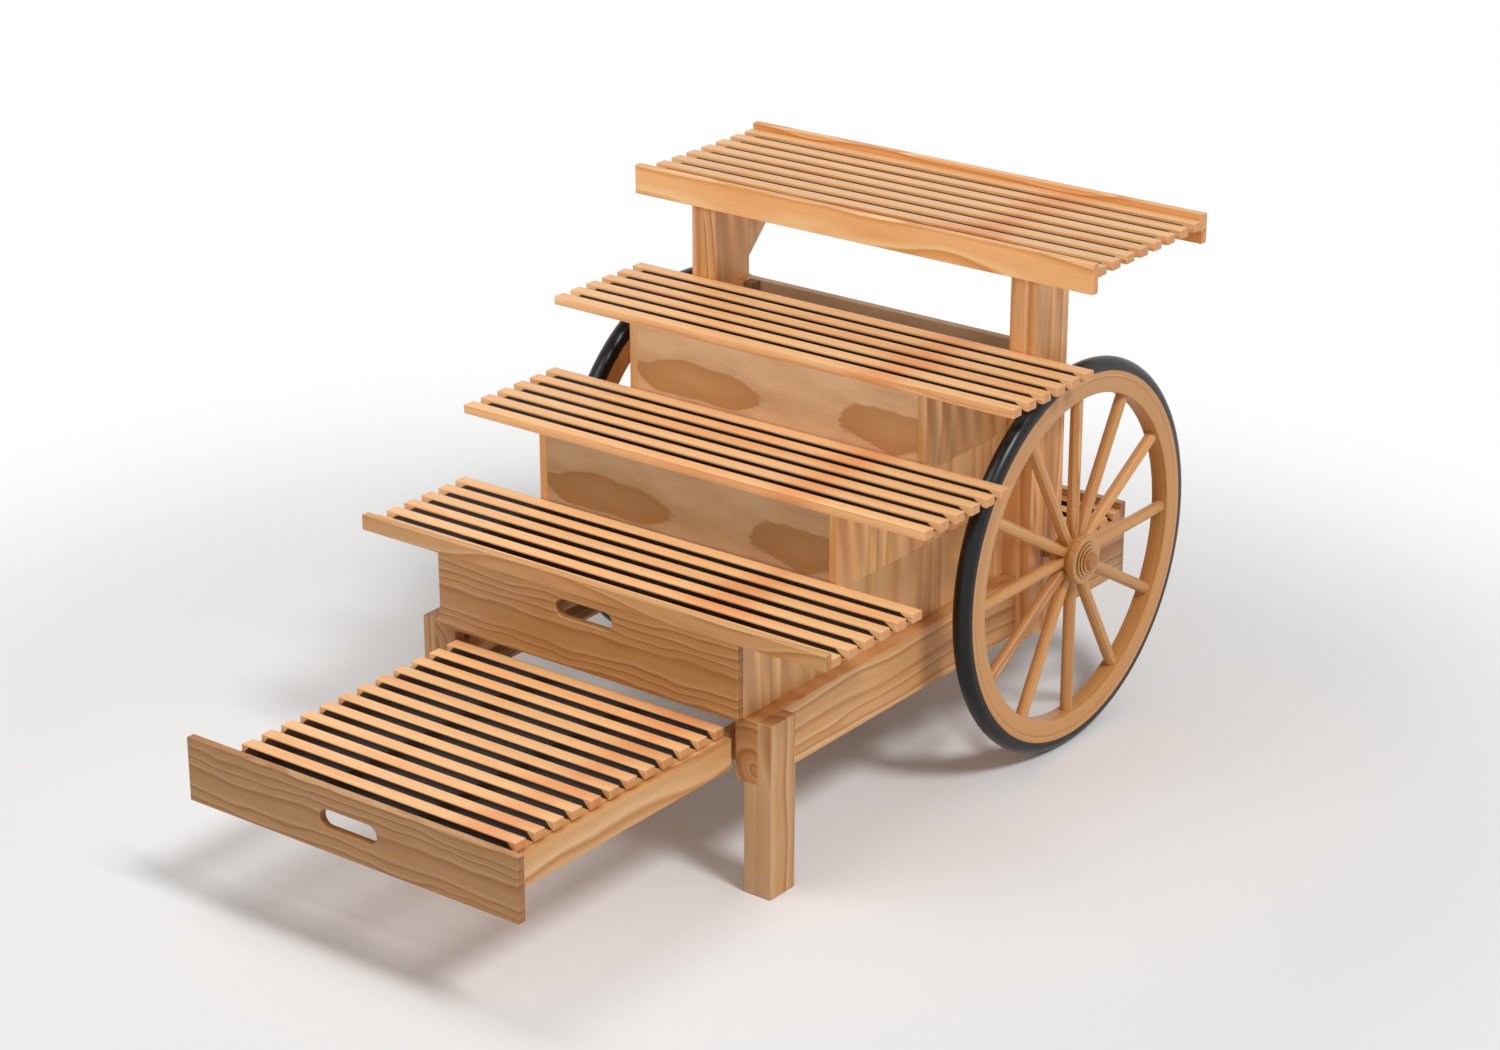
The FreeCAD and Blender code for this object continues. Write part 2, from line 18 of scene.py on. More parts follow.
import bmesh
import bpy
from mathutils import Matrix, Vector

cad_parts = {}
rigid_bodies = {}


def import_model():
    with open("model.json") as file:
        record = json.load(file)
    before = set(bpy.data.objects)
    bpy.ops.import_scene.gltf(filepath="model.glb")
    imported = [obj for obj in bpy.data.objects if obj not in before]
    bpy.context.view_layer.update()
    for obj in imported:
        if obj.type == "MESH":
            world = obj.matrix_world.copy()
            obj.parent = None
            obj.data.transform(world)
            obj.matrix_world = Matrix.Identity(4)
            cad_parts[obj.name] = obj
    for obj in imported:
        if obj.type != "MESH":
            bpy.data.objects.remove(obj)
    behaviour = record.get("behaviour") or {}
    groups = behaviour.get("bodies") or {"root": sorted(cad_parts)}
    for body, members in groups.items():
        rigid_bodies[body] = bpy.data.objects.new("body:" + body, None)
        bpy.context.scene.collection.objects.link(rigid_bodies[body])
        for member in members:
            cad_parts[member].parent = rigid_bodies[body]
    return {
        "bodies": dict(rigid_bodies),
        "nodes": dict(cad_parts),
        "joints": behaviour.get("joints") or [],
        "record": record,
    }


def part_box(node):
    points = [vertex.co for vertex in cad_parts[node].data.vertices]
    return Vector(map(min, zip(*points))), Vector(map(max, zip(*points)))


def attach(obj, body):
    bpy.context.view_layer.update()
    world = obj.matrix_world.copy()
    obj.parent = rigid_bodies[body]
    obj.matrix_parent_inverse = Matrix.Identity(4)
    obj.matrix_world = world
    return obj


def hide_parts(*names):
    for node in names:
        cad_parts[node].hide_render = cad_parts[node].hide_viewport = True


LOG = logging.getLogger("flower_cart")
MM = 0.001
# a face looks along an axis where its normal's share along that axis is above this
STEEP = 0.8
# vertices of the CAD's loose triangles that lie closer than this are one
WELD = 0.02 * MM
# each board is cut up to this far along its log from the log's middle
LOG_REACH = 2.0
# each board's tone lies within this much of its finish's own
BOARD_SPREAD = 0.04
Profile = list[tuple[float, float]]


class Grain(Enum):
    """The axis that the grain of a board runs along."""

    X = 0
    Y = 1
    Z = 2


class Sawn(Enum):
    """Where in the log a board was cut: the pith's distance in mm across its width and its thickness."""

    FLAT = ((-18.0, 18.0), (55.0, 95.0))
    QUARTER = ((60.0, 130.0), (-10.0, 10.0))
    RIFT = ((35.0, 70.0), (35.0, 70.0))
    BROAD = ((150.0, 210.0), (10.0, 40.0))
    CENTRED = ((0.0, 0.0), (0.0, 0.0))


class Finish(Enum):
    """The finishes of the stand."""

    SLAT = "planed_pine_slats_satin_oil"
    PANEL = "planed_pine_front_panels_satin_oil"
    SIDE = "planed_pine_side_panels_satin_oil"
    PLANK = "planed_pine_planks_satin_oil"
    APRON = "planed_pine_aprons_satin_oil"
    HIDDEN = "sawn_pine_blocks_bare"
    PLYWOOD = "rotary_cut_pine_plywood_satin_oil"
    BENT = "steam_bent_pine_satin_oil"
    TURNED = "turned_pine_satin_oil"
    RUBBER = "solid_black_rubber_moulded"
    ZINC = "zinc_plated_steel"
    BRONZE = "sintered_bronze"


# ------------------------------------------------------------------------------- small helpers
def linear(hex_colour: str) -> tuple[float, float, float, float]:
    """Turns an sRGB hex colour to linear values.

    Args:
        hex_colour: six hex digits with a leading hash.

    Returns:
        Red, green, blue and alpha, as the shader sockets take them.
    """
    values = [int(hex_colour[i:i + 2], 16) / 255.0 for i in (1, 3, 5)]
    red, green, blue = (v / 12.92 if v <= 0.04045 else ((v + 0.055) / 1.055) ** 2.4 for v in values)
    return red, green, blue, 1.0


def plug(tree: bpy.types.NodeTree, node: bpy.types.Node, inputs: dict[Any, Any]) -> None:
    """Sets a node's inputs.

    Args:
        tree: the tree that the node is in.
        node: the node.
        inputs: for each input, by name or number, a socket to link from or a value to set.
    """
    for key, value in inputs.items():
        if isinstance(value, bpy.types.NodeSocket):
            tree.links.new(value, node.inputs[key])
        else:
            node.inputs[key].default_value = value


def add(tree: bpy.types.NodeTree, kind: str, inputs: dict[Any, Any] | None = None,
        **settings: Any) -> bpy.types.Node:
    """Adds a node with its settings and its inputs.

    Args:
        tree: the shader or geometry tree that gets the node.
        kind: the node's type name.
        inputs: for each input, by name or number, a socket to link from or a value to set.
        **settings: the node's own properties.

    Returns:
        The new node.
    """
    node = tree.nodes.new(kind)
    for name, value in settings.items():
        setattr(node, name, value)
    plug(tree, node, inputs or {})
    return node


def mottle(tree: bpy.types.NodeTree, place: bpy.types.NodeSocket, sizes_mm: tuple[float, float, float],
           detail: float, roughness: float = 0.5) -> bpy.types.Node:
    """Mottling whose patches have a real size.

    Args:
        tree: the shader tree.
        place: the coordinates, such as the place in the log.
        sizes_mm: a patch's size along each of their axes.
        detail: how many finer layers are added.
        roughness: how strong the finer layers are.

    Returns:
        The node, with the mottling as a value and as a colour.
    """
    counts = tuple(1.0 / (size * MM) for size in sizes_mm)
    scaled = add(tree, "ShaderNodeVectorMath", {0: place, 1: counts}, operation="MULTIPLY")
    return add(tree, "ShaderNodeTexNoise", {"Vector": scaled.outputs[0], "Scale": 1.0,
                                            "Detail": detail, "Roughness": roughness})


def new_material(name: str) -> bpy.types.Material:
    """Starts a material with its own node tree."""
    material = bpy.data.materials.new(name)
    material.use_nodes = True
    return material


def new_piece(name: str, mesh: bpy.types.Mesh) -> bpy.types.Object:
    """Puts a mesh into the scene as an object at the origin."""
    piece = bpy.data.objects.new(name, mesh)
    bpy.context.scene.collection.objects.link(piece)
    return piece


# ------------------------------------------------------------------------------- finishes
@dataclass(frozen=True)
class PineFinish:
    """Solid pine, planed and oiled: soft growth rings with a sharp pale start, and fine fibres.

    The rings are drawn round the pith, from the attribute that holds each point's place in its log,
    so a face cut along the log shows long bands and arches, and a board's end shows arcs.

    Attributes:
        pale: colour of a ring's start.
        body: colour of most of a ring.
        deep: colour of its late wood.
        warm: colour of resinous patches.
        ring_mm: a ring's width.
        wave_mm: how far the rings wander.
        wave_reach_mm: the length along the log over which they wander.
        fibre_mm: a fibre's width; real ones are thinner, and these are coarse enough to show.
        fibre_length: a fibre's length, in widths.
        fibre_depth: how far the fibres lighten and darken the wood.
        patch_mm: a resinous patch's size along the log, across it and through it.
        patch_share: how much of the warm colour a patch takes.
        pore_mm: a pore's size; real ones are finer, and these are coarse enough to show.
        pore_share: how much the pores count beside the fibres.
        roughness: the oiled surface's roughness, on average.
        coat: weight of the film of oil.
        late_peak: place in the ring, from 0 to 1, where the late wood is deepest.
        ring_relief: height of the late wood, in shares of the fibres' height.
        relief_mm: the fibres' height; the real one is finer, and this is coarse enough to show.
        blush_mm: middle and half width along X of a reddish streak, if there is one.
        end_soak: how much of the oil's stain the end grain takes.
        end_oil: the stain of oil in end grain, which multiplies the wood's colour.
        painted_shade_colour: painted shade in the gaps between slats, where they shade each other; it
            multiplies the colour too.
        painted_shade_fade: share of a slat's height over which that painted shade sets in.
    """

    pale: str
    body: str
    deep: str
    warm: str
    ring_mm: float = 7.0
    wave_mm: float = 14.0
    wave_reach_mm: float = 420.0
    fibre_mm: float = 1.6
    fibre_length: float = 42.0
    fibre_depth: float = 0.20
    patch_mm: tuple[float, float, float] = (384.6, 58.82, 58.82)
    patch_share: float = 0.55
    pore_mm: tuple[float, float, float] = (3.846, 2.381, 2.381)
    pore_share: float = 0.42
    roughness: float = 0.46
    coat: float = 0.12
    late_peak: float = 0.93
    ring_relief: float = 0.15
    relief_mm: float = 0.35
    blush_mm: tuple[float, float] | None = None
    end_soak: float = 0.55
    end_oil: str = "#C49A6C"
    # painted shade: the dark in the gaps between slats and in the hub's steps
    painted_shade_colour: str = "#241509"
    painted_shade_fade: float = 0.12

    def build(self, name: str) -> bpy.types.Material:
        """Builds the material.

        Args:
            name: the material's name.

        Returns:
            The finished material.
        """
        material = new_material(name)
        tree = material.node_tree
        log = add(tree, "ShaderNodeAttribute", attribute_name="log").outputs["Vector"]
        rings, fibre = self.rings(tree, log), self.fibre(tree, log)
        height = add(tree, "ShaderNodeMath", {0: rings, 1: self.ring_relief, 2: fibre},
                     operation="MULTIPLY_ADD")
        bump = add(tree, "ShaderNodeBump", {"Strength": 0.35, "Distance": self.relief_mm * MM,
                                            "Height": height.outputs[0]})
        rough = add(tree, "ShaderNodeMapRange", {0: fibre, 3: self.roughness + 0.08,
                                                 4: self.roughness - 0.08})
        plug(tree, tree.nodes["Principled BSDF"], {
            "Base Color": self.colour(tree, log, rings, fibre), "Normal": bump.outputs[0],
            "Roughness": rough.outputs[0], "Coat Weight": self.coat, "Coat Roughness": 0.35,
            "IOR": 1.48})
        return material

    def rings(self, tree: bpy.types.NodeTree, log: bpy.types.NodeSocket) -> bpy.types.NodeSocket:
        """Growth rings as a saw tooth from 0, a ring's start, to 1, its late wood."""
        reach = self.wave_reach_mm
        wave = mottle(tree, log, (reach, reach / 3.0, reach / 3.0), 1.5)
        shift = self.wave_mm * MM * 2.0
        moved = add(tree, "ShaderNodeVectorMath", {0: wave.outputs["Color"], 1: (0.0, shift, shift),
                                                   2: log}, operation="MULTIPLY_ADD")
        across = add(tree, "ShaderNodeVectorMath", {0: moved.outputs[0], 1: (0.0, 1.0, 1.0)},
                     operation="MULTIPLY")
        radius = add(tree, "ShaderNodeVectorMath", {0: across.outputs[0]}, operation="LENGTH")
        count = add(tree, "ShaderNodeMath", {0: radius.outputs["Value"], 1: 1.0 / (self.ring_mm * MM)},
                    operation="MULTIPLY")
        # good and poor summers: the ring widths change slowly, over about three rings
        uneven = add(tree, "ShaderNodeTexNoise", {"W": count.outputs[0], "Scale": 0.37, "Detail": 0.0},
                     noise_dimensions="1D")
        grown = add(tree, "ShaderNodeMath", {0: uneven.outputs[0], 1: 2.4, 2: count.outputs[0]},
                    operation="MULTIPLY_ADD")
        return add(tree, "ShaderNodeMath", {0: grown.outputs[0]}, operation="FRACT").outputs[0]

    def fibre(self, tree: bpy.types.NodeTree, log: bpy.types.NodeSocket) -> bpy.types.NodeSocket:
        """Fine fibres along the grain."""
        sizes_mm = (self.fibre_mm * self.fibre_length, self.fibre_mm, self.fibre_mm)
        return mottle(tree, log, sizes_mm, 3.0, 0.62).outputs[0]

    def colour(self, tree: bpy.types.NodeTree, log: bpy.types.NodeSocket, rings: bpy.types.NodeSocket,
               fibre: bpy.types.NodeSocket) -> bpy.types.NodeSocket:
        """Colour from rings, fibres, warm resinous patches, the board's own tone, its end grain and
        painted shade in gaps and steps.
        """
        patch = mottle(tree, log, self.patch_mm, 2.0).outputs[0]
        share = add(tree, "ShaderNodeMapRange", {0: patch, 1: 0.50, 2: 0.72, 4: self.patch_share})
        warmed = add(tree, "ShaderNodeMix", {0: share.outputs[0], 6: self.ringed(tree, rings),
                                             7: linear(self.warm)}, data_type="RGBA").outputs[2]
        if self.blush_mm:
            warmed = self.blushed(tree, warmed, patch)
        toned = self.toned(tree, log, fibre, warmed)
        end = add(tree, "ShaderNodeAttribute", attribute_name="end_grain").outputs["Fac"]
        oiled = add(tree, "ShaderNodeMath", {0: end, 1: self.end_soak}, operation="MULTIPLY").outputs[0]
        ended = self.oiled_or_shaded(tree, toned, oiled, self.end_oil)
        # painted shade: gap-facing slat sides and the hub's steps darken below a line under the slat's top
        gap = add(tree, "ShaderNodeAttribute", attribute_name="gap").outputs["Fac"]
        low = add(tree, "ShaderNodeAttribute", attribute_name="low").outputs["Fac"]
        below_line = add(tree, "ShaderNodeMapRange", {0: low, 1: 0.0, 2: self.painted_shade_fade}).outputs[0]
        shaded = add(tree, "ShaderNodeMath", {0: gap, 1: below_line}, operation="MULTIPLY").outputs[0]
        return self.oiled_or_shaded(tree, ended, shaded, self.painted_shade_colour)

    def ringed(self, tree: bpy.types.NodeTree, rings: bpy.types.NodeSocket) -> bpy.types.NodeSocket:
        """Colours each ring from its pale start through its body to its deep late wood, and back."""
        pale, body, deep = linear(self.pale), linear(self.body), linear(self.deep)
        early = 1.2 * (1.0 - self.late_peak) + 0.08
        node = add(tree, "ShaderNodeValToRGB", {0: rings})
        elements = node.color_ramp.elements
        for element in elements:
            element.color = pale
        for place, colour in ((early, body), (self.late_peak - 0.31, body), (self.late_peak, deep)):
            elements.new(place).color = colour
        return node.outputs[0]

    def toned(self, tree: bpy.types.NodeTree, log: bpy.types.NodeSocket, fibre: bpy.types.NodeSocket,
              colour: bpy.types.NodeSocket) -> bpy.types.NodeSocket:
        """Lightens and darkens a colour by fibres and pores, and by the board's own tone."""
        pores = mottle(tree, log, self.pore_mm, 1.0).outputs[0]
        speckled = add(tree, "ShaderNodeMix", {0: self.pore_share, 2: fibre, 3: pores}).outputs[0]
        level = add(tree, "ShaderNodeMapRange", {0: speckled, 1: 0.25, 2: 0.75,
                                                 3: 1.0 - self.fibre_depth, 4: 1.0 + self.fibre_depth})
        tone = add(tree, "ShaderNodeAttribute", attribute_name="tone").outputs["Fac"]
        value = add(tree, "ShaderNodeMath", {0: level.outputs[0], 1: tone}, operation="MULTIPLY")
        return add(tree, "ShaderNodeHueSaturation", {"Value": value.outputs[0],
                                                     "Color": colour}).outputs[0]

    def blushed(self, tree: bpy.types.NodeTree, colour: bpy.types.NodeSocket,
                patch: bpy.types.NodeSocket) -> bpy.types.NodeSocket:
        """A reddish resin streak across the stand, at one place along all the slats."""
        middle, half = self.blush_mm
        place = add(tree, "ShaderNodeTexCoord").outputs["Object"]
        along = add(tree, "ShaderNodeSeparateXYZ", {0: place}).outputs["X"]
        off = add(tree, "ShaderNodeMath", {0: along, 1: middle * MM}, operation="SUBTRACT").outputs[0]
        size = add(tree, "ShaderNodeMath", {0: off}, operation="ABSOLUTE").outputs[0]
        torn = add(tree, "ShaderNodeMath", {0: patch, 1: -1.6 * half * MM, 2: size},
                   operation="MULTIPLY_ADD").outputs[0]
        share = add(tree, "ShaderNodeMapRange", {0: torn, 1: 0.2 * half * MM, 2: -0.8 * half * MM,
                                                 3: 0.0, 4: 0.75}, interpolation_type="SMOOTHSTEP")
        return add(tree, "ShaderNodeMix", {0: share.outputs[0], 6: colour, 7: linear(self.warm)},
                   data_type="RGBA").outputs[2]

    @staticmethod
    def oiled_or_shaded(tree: bpy.types.NodeTree, colour: bpy.types.NodeSocket, share: bpy.types.NodeSocket,
               stain: str) -> bpy.types.NodeSocket:
        """Darkens wood where oil has soaked in, or where shade is painted.

        Args:
            tree: the shader tree.
            colour: the colour so far.
            share: how much of the stain shows, from 0 to 1.
            stain: the colour of the oil's stain or of the painted shade, which multiplies the wood's.

        Returns:
            The stained colour.
        """
        return add(tree, "ShaderNodeMix", {0: share, 6: colour, 7: linear(stain)},
                   data_type="RGBA", blend_type="MULTIPLY", clamp_result=True).outputs[2]


@dataclass(frozen=True)
class Island:
    """A brown figure on a rotary-cut sheet: its middle and half sizes in mm, along and up the panel."""

    along_mm: float
    up_mm: float
    half_length_mm: float
    half_height_mm: float


@dataclass(frozen=True)
class PlywoodFinish(PineFinish):
    """Rotary-cut pine face veneer: pale cloudy ground with soft-edged brown islands of late wood.

    The ground runs from pale to body, and an island from warm in its middle to deep at its edge.

    Attributes:
        islands: the brown figures.
        cloud_mm: size of the ground's clouds along the sheet, up it and through it.
        teeth_mm: size of the teeth along an island's edge.
        bend_mm: how far an island is bent out of its round shape, along and up.
        bend_reach_mm: the length over which it is bent.
        edge: an island's reach at its edge, in the units of island_reach.
        ragged: how far the teeth tear that edge.
    """

    islands: tuple[Island, ...] = ()
    cloud_mm: tuple[float, float, float] = (142.86, 45.45, 45.45)
    teeth_mm: tuple[float, float, float] = (38.46, 5.882, 33.33)
    bend_mm: tuple[float, float] = (70.0, 34.0)
    bend_reach_mm: float = 111.1
    edge: float = 0.80
    ragged: float = 0.22

    def colour(self, tree: bpy.types.NodeTree, log: bpy.types.NodeSocket, rings: bpy.types.NodeSocket,
               fibre: bpy.types.NodeSocket) -> bpy.types.NodeSocket:
        """Cloudy veneer with its islands."""
        cloud = mottle(tree, log, self.cloud_mm, 3.0)
        tint = add(tree, "ShaderNodeMapRange", {0: cloud.outputs[0], 1: 0.38, 2: 0.66})
        colour = add(tree, "ShaderNodeMix", {0: tint.outputs[0], 6: linear(self.pale),
                                             7: linear(self.body)}, data_type="RGBA").outputs[2]
        teeth = mottle(tree, log, self.teeth_mm, 2.0).outputs[0]
        for island in self.islands:
            far = self.island_reach(tree, log, teeth, island)
            outward = add(tree, "ShaderNodeMapRange", {0: far, 1: 0.0, 2: self.edge}).outputs[0]
            shade = add(tree, "ShaderNodeMix", {0: outward, 6: linear(self.warm), 7: linear(self.deep)},
                        data_type="RGBA").outputs[2]
            mask = add(tree, "ShaderNodeMapRange", {0: far, 1: 0.86, 2: 0.76, 3: 0.0, 4: 0.88},
                       interpolation_type="SMOOTHSTEP").outputs[0]
            colour = add(tree, "ShaderNodeMix", {0: mask, 6: colour, 7: shade},
                         data_type="RGBA").outputs[2]
        return self.toned(tree, log, fibre, colour)

    def island_reach(self, tree: bpy.types.NodeTree, log: bpy.types.NodeSocket,
                     teeth: bpy.types.NodeSocket, island: Island) -> bpy.types.NodeSocket:
        """Distance from an island's middle, 0 there and about the value of edge at its torn edge."""
        bend = mottle(tree, log, (self.bend_reach_mm,) * 3, 1.0)
        along, up = self.bend_mm
        bent = add(tree, "ShaderNodeVectorMath", {0: bend.outputs["Color"], 1: (along * MM, up * MM, 0.0),
                                                  2: log}, operation="MULTIPLY_ADD")
        # the mottling's mean is a half, so the middle moves by half the bend
        middle = ((island.along_mm + along / 2.0) * MM, (island.up_mm + up / 2.0) * MM, 0.0)
        stretch = (self.edge / (island.half_length_mm * MM), self.edge / (island.half_height_mm * MM), 0.0)
        off = add(tree, "ShaderNodeVectorMath", {0: bent.outputs[0], 1: middle}, operation="SUBTRACT")
        unit = add(tree, "ShaderNodeVectorMath", {0: off.outputs[0], 1: stretch}, operation="MULTIPLY")
        far = add(tree, "ShaderNodeVectorMath", {0: unit.outputs[0]}, operation="LENGTH")
        torn = add(tree, "ShaderNodeMath", {0: teeth, 1: self.ragged, 2: far.outputs["Value"]},
                   operation="MULTIPLY_ADD")
        return add(tree, "ShaderNodeMath", {0: torn.outputs[0], 1: self.ragged / 2.0},
                   operation="SUBTRACT").outputs[0]


@dataclass(frozen=True)
class RubberFinish:
    """Solid black rubber, moulded: near black, with a soft sheen and the mould's fine texture.

    Attributes:
        black: the rubber's colour.
        dust: its colour where dust lies.
        roughness: its roughness where it is clean.
        dust_mm: size of the dusty patches.
        skin_mm: grain of the mould's texture; the real one is finer, and this is coarse enough to show.
    """

    black: str = "#060607"
    dust: str = "#151412"
    roughness: float = 0.27
    dust_mm: float = 111.1
    skin_mm: float = 1.923

    def build(self, name: str) -> bpy.types.Material:
        """Builds the material under that name."""
        material = new_material(name)
        tree = material.node_tree
        place = add(tree, "ShaderNodeTexCoord").outputs["Object"]
        cloud = mottle(tree, place, (self.dust_mm,) * 3, 3.0).outputs[0]
        share = add(tree, "ShaderNodeMapRange", {0: cloud, 1: 0.48, 2: 0.75, 4: 0.5})
        colour = add(tree, "ShaderNodeMix", {0: share.outputs[0], 6: linear(self.black),
                                             7: linear(self.dust)}, data_type="RGBA")
        rough = add(tree, "ShaderNodeMapRange", {0: cloud, 3: self.roughness - 0.06,
                                                 4: self.roughness + 0.14})
        skin = mottle(tree, place, (self.skin_mm,) * 3, 2.0)
        bump = add(tree, "ShaderNodeBump", {"Strength": 0.18, "Distance": 0.2 * MM,
                                            "Height": skin.outputs[0]})
        plug(tree, tree.nodes["Principled BSDF"], {
            "Base Color": colour.outputs[2], "Roughness": rough.outputs[0], "Normal": bump.outputs[0],
            "IOR": 1.52, "Specular IOR Level": 0.34})
        return material


@dataclass(frozen=True)
class MetalFinish:
    """Machined metal with turning marks across the axle's direction and a slightly cloudy surface.

    Attributes:
        bright: the metal's colour where it is clean.
        dull: its colour where it has tarnished.
        roughness: its roughness, on average.
        cloud_mm: size of the tarnished patches.
        mark_mm: spacing and length of the turning marks; the real ones are finer.
    """

    bright: str
    dull: str
    roughness: float
    cloud_mm: float = 16.67
    mark_mm: tuple[float, float, float] = (0.9, 25.0, 25.0)

    def build(self, name: str) -> bpy.types.Material:
        """Builds the material under that name."""
        material = new_material(name)
        tree = material.node_tree
        place = add(tree, "ShaderNodeTexCoord").outputs["Object"]
        cloud = mottle(tree, place, (self.cloud_mm,) * 3, 4.0).outputs[0]
        colour = add(tree, "ShaderNodeMix", {0: cloud, 6: linear(self.bright), 7: linear(self.dull)},
                     data_type="RGBA")
        rough = add(tree, "ShaderNodeMapRange", {0: cloud, 3: self.roughness - 0.08,
                                                 4: self.roughness + 0.10})
        marks = mottle(tree, place, self.mark_mm, 2.0)
        bump = add(tree, "ShaderNodeBump", {"Strength": 0.25, "Distance": 0.05 * MM,
                                            "Height": marks.outputs[0]})
        plug(tree, tree.nodes["Principled BSDF"], {
            "Base Color": colour.outputs[2], "Roughness": rough.outputs[0], "Normal": bump.outputs[0],
            "Metallic": 1.0})
        return material


FINISHES: dict[Finish, Any] = {
    # narrow pale boards with close rings: light honey stripes, and one reddish streak across them all
    Finish.SLAT: PineFinish("#FCCE98", "#F5BE84", "#E09F60", "#E8985C", ring_mm=5.5, wave_mm=5.0,
                            fibre_depth=0.10, blush_mm=(250.0, 95.0)),
    # darker boards cut far from the pith, their darkness partly painted shade on the front faces: broad
    # wavy bands along the slotted front panels
    Finish.PANEL: PineFinish("#CC9B66", "#BE894F", "#A2692F", "#B3793C", ring_mm=25.0, wave_mm=15.0,
                             wave_reach_mm=150.0, fibre_depth=0.11, late_peak=0.84, ring_relief=0.05),
    # wide light boards with very broad rings: soft vertical flames on the crates' sides
    Finish.SIDE: PineFinish("#E6B683", "#DBA86F", "#C89054", "#D0945A", ring_mm=52.0, wave_mm=34.0,
                            wave_reach_mm=420.0, fibre_depth=0.11, late_peak=0.82, ring_relief=0.04),
    # thick planks of a middle brown: wide arches on rails, legs, posts and the tray's sides
    Finish.PLANK: PineFinish("#E2B482", "#D39F66", "#B87D40", "#C98B4D", ring_mm=32.0, wave_mm=32.0,
                             wave_reach_mm=380.0, fibre_depth=0.12, late_peak=0.85, ring_relief=0.06),
    # the lightest and warmest boards: long orange arches along the shelves' edges
    Finish.APRON: PineFinish("#F9C98F", "#F0B474", "#D58D45", "#E39A52", ring_mm=26.0, wave_mm=34.0,
                             wave_reach_mm=480.0, fibre_depth=0.10, ring_relief=0.08),
    # bare sawn wood inside the stand, dull; its darker colour is painted shade for the stand's shaded
    # inside, so that it stays back behind the slats
    Finish.HIDDEN: PineFinish("#9C7448", "#8A6239", "#6F4A26", "#7E5630", ring_mm=6.0,
                              roughness=0.62, coat=0.0),
    # a peeled sheet: cloudy and smooth, with two brown islands on each of the upper risers
    Finish.PLYWOOD: PlywoodFinish("#E0B68A", "#CFA276", "#B57E46", "#C8955E", fibre_depth=0.10,
                                  ring_relief=0.0,
                                  islands=(Island(-190.0, -14.5, 165.0, 38.0),
                                           Island(277.0, -9.5, 104.0, 46.0))),
    # a strip bent with steam: smooth, with its fine grain running round the wheel
    Finish.BENT: PineFinish("#D9A468", "#CA9053", "#AF753B", "#BF7F42", ring_mm=7.0, wave_mm=2.2,
                            wave_reach_mm=500.0, fibre_depth=0.13, roughness=0.42),
    # turned on a lathe: smooth, with rings that show as arcs on the hub and as stripes on the spokes
    Finish.TURNED: PineFinish("#DCA66A", "#CA9154", "#AA7036", "#BC7E42", ring_mm=7.5, wave_mm=4.0,
                              wave_reach_mm=260.0, fibre_depth=0.13, roughness=0.42),
    # near black with one long soft highlight round the tyre
    Finish.RUBBER: RubberFinish(),
    # cool light grey with a blurred shine
    Finish.ZINC: MetalFinish("#B9BCBE", "#8E9396", 0.38),
    # warm yellow brown with a dull shine
    Finish.BRONZE: MetalFinish("#C79A58", "#8F6A36", 0.42),
}


# ------------------------------------------------------------------------------- the workshop
class Workshop:
    """Holds the frame and the finishes, and hands each piece over to the body that it rides on."""

    def __init__(self, frame: dict[str, Any]) -> None:
        """Takes the loaded frame and builds every finish once."""
        record = frame["record"]
        self.nodes: dict[str, bpy.types.Object] = frame["nodes"]
        self.slots = {part["node"]: part["material_slot"] for part in record["subparts"]}
        self.bodies = {node: body for body, nodes in record["behaviour"]["bodies"].items()
                       for node in nodes}
        self.finishes = {kind: finish.build(kind.value) for kind, finish in FINISHES.items()}

    def adopt(self, piece: bpy.types.Object, node: str) -> bpy.types.Object:
        """Lets a piece stand for a CAD node.

        Args:
            piece: the finished piece, with no live modifier.
            node: the CAD node that it replaces.

        Returns:
            The same piece.
        """
        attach(piece, self.bodies[node])
        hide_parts(node)
        LOG.info("%s: %d faces, rides on %s", piece.name, len(piece.data.polygons), self.bodies[node])
        return piece

    def coat(self, node: str, finish: Finish) -> None:
        """Gives a CAD node whose own shape is right its finish."""
        target = self.nodes[node]
        for place in target.material_slots:
            place.material = self.finishes[finish]
        if not target.material_slots:
            target.data.materials.append(self.finishes[finish])
        LOG.info("%s: CAD shape, finish %s", node, finish.value)


@dataclass(frozen=True)
class Cut:
    """How the boards of one CAD node were sawn.

    Attributes:
        node: the CAD node whose boards these are.
        grain: the axis that the grain runs along.
        finish: their finish.
        sawn: where in the log they were cut.
        level: how light these boards are beside others of the finish; on some boards it is painted light
            or shade, for how the light falls where they stand.
    """

    node: str
    grain: Grain
    finish: Finish
    sawn: Sawn = Sawn.FLAT
    level: float = 1.0


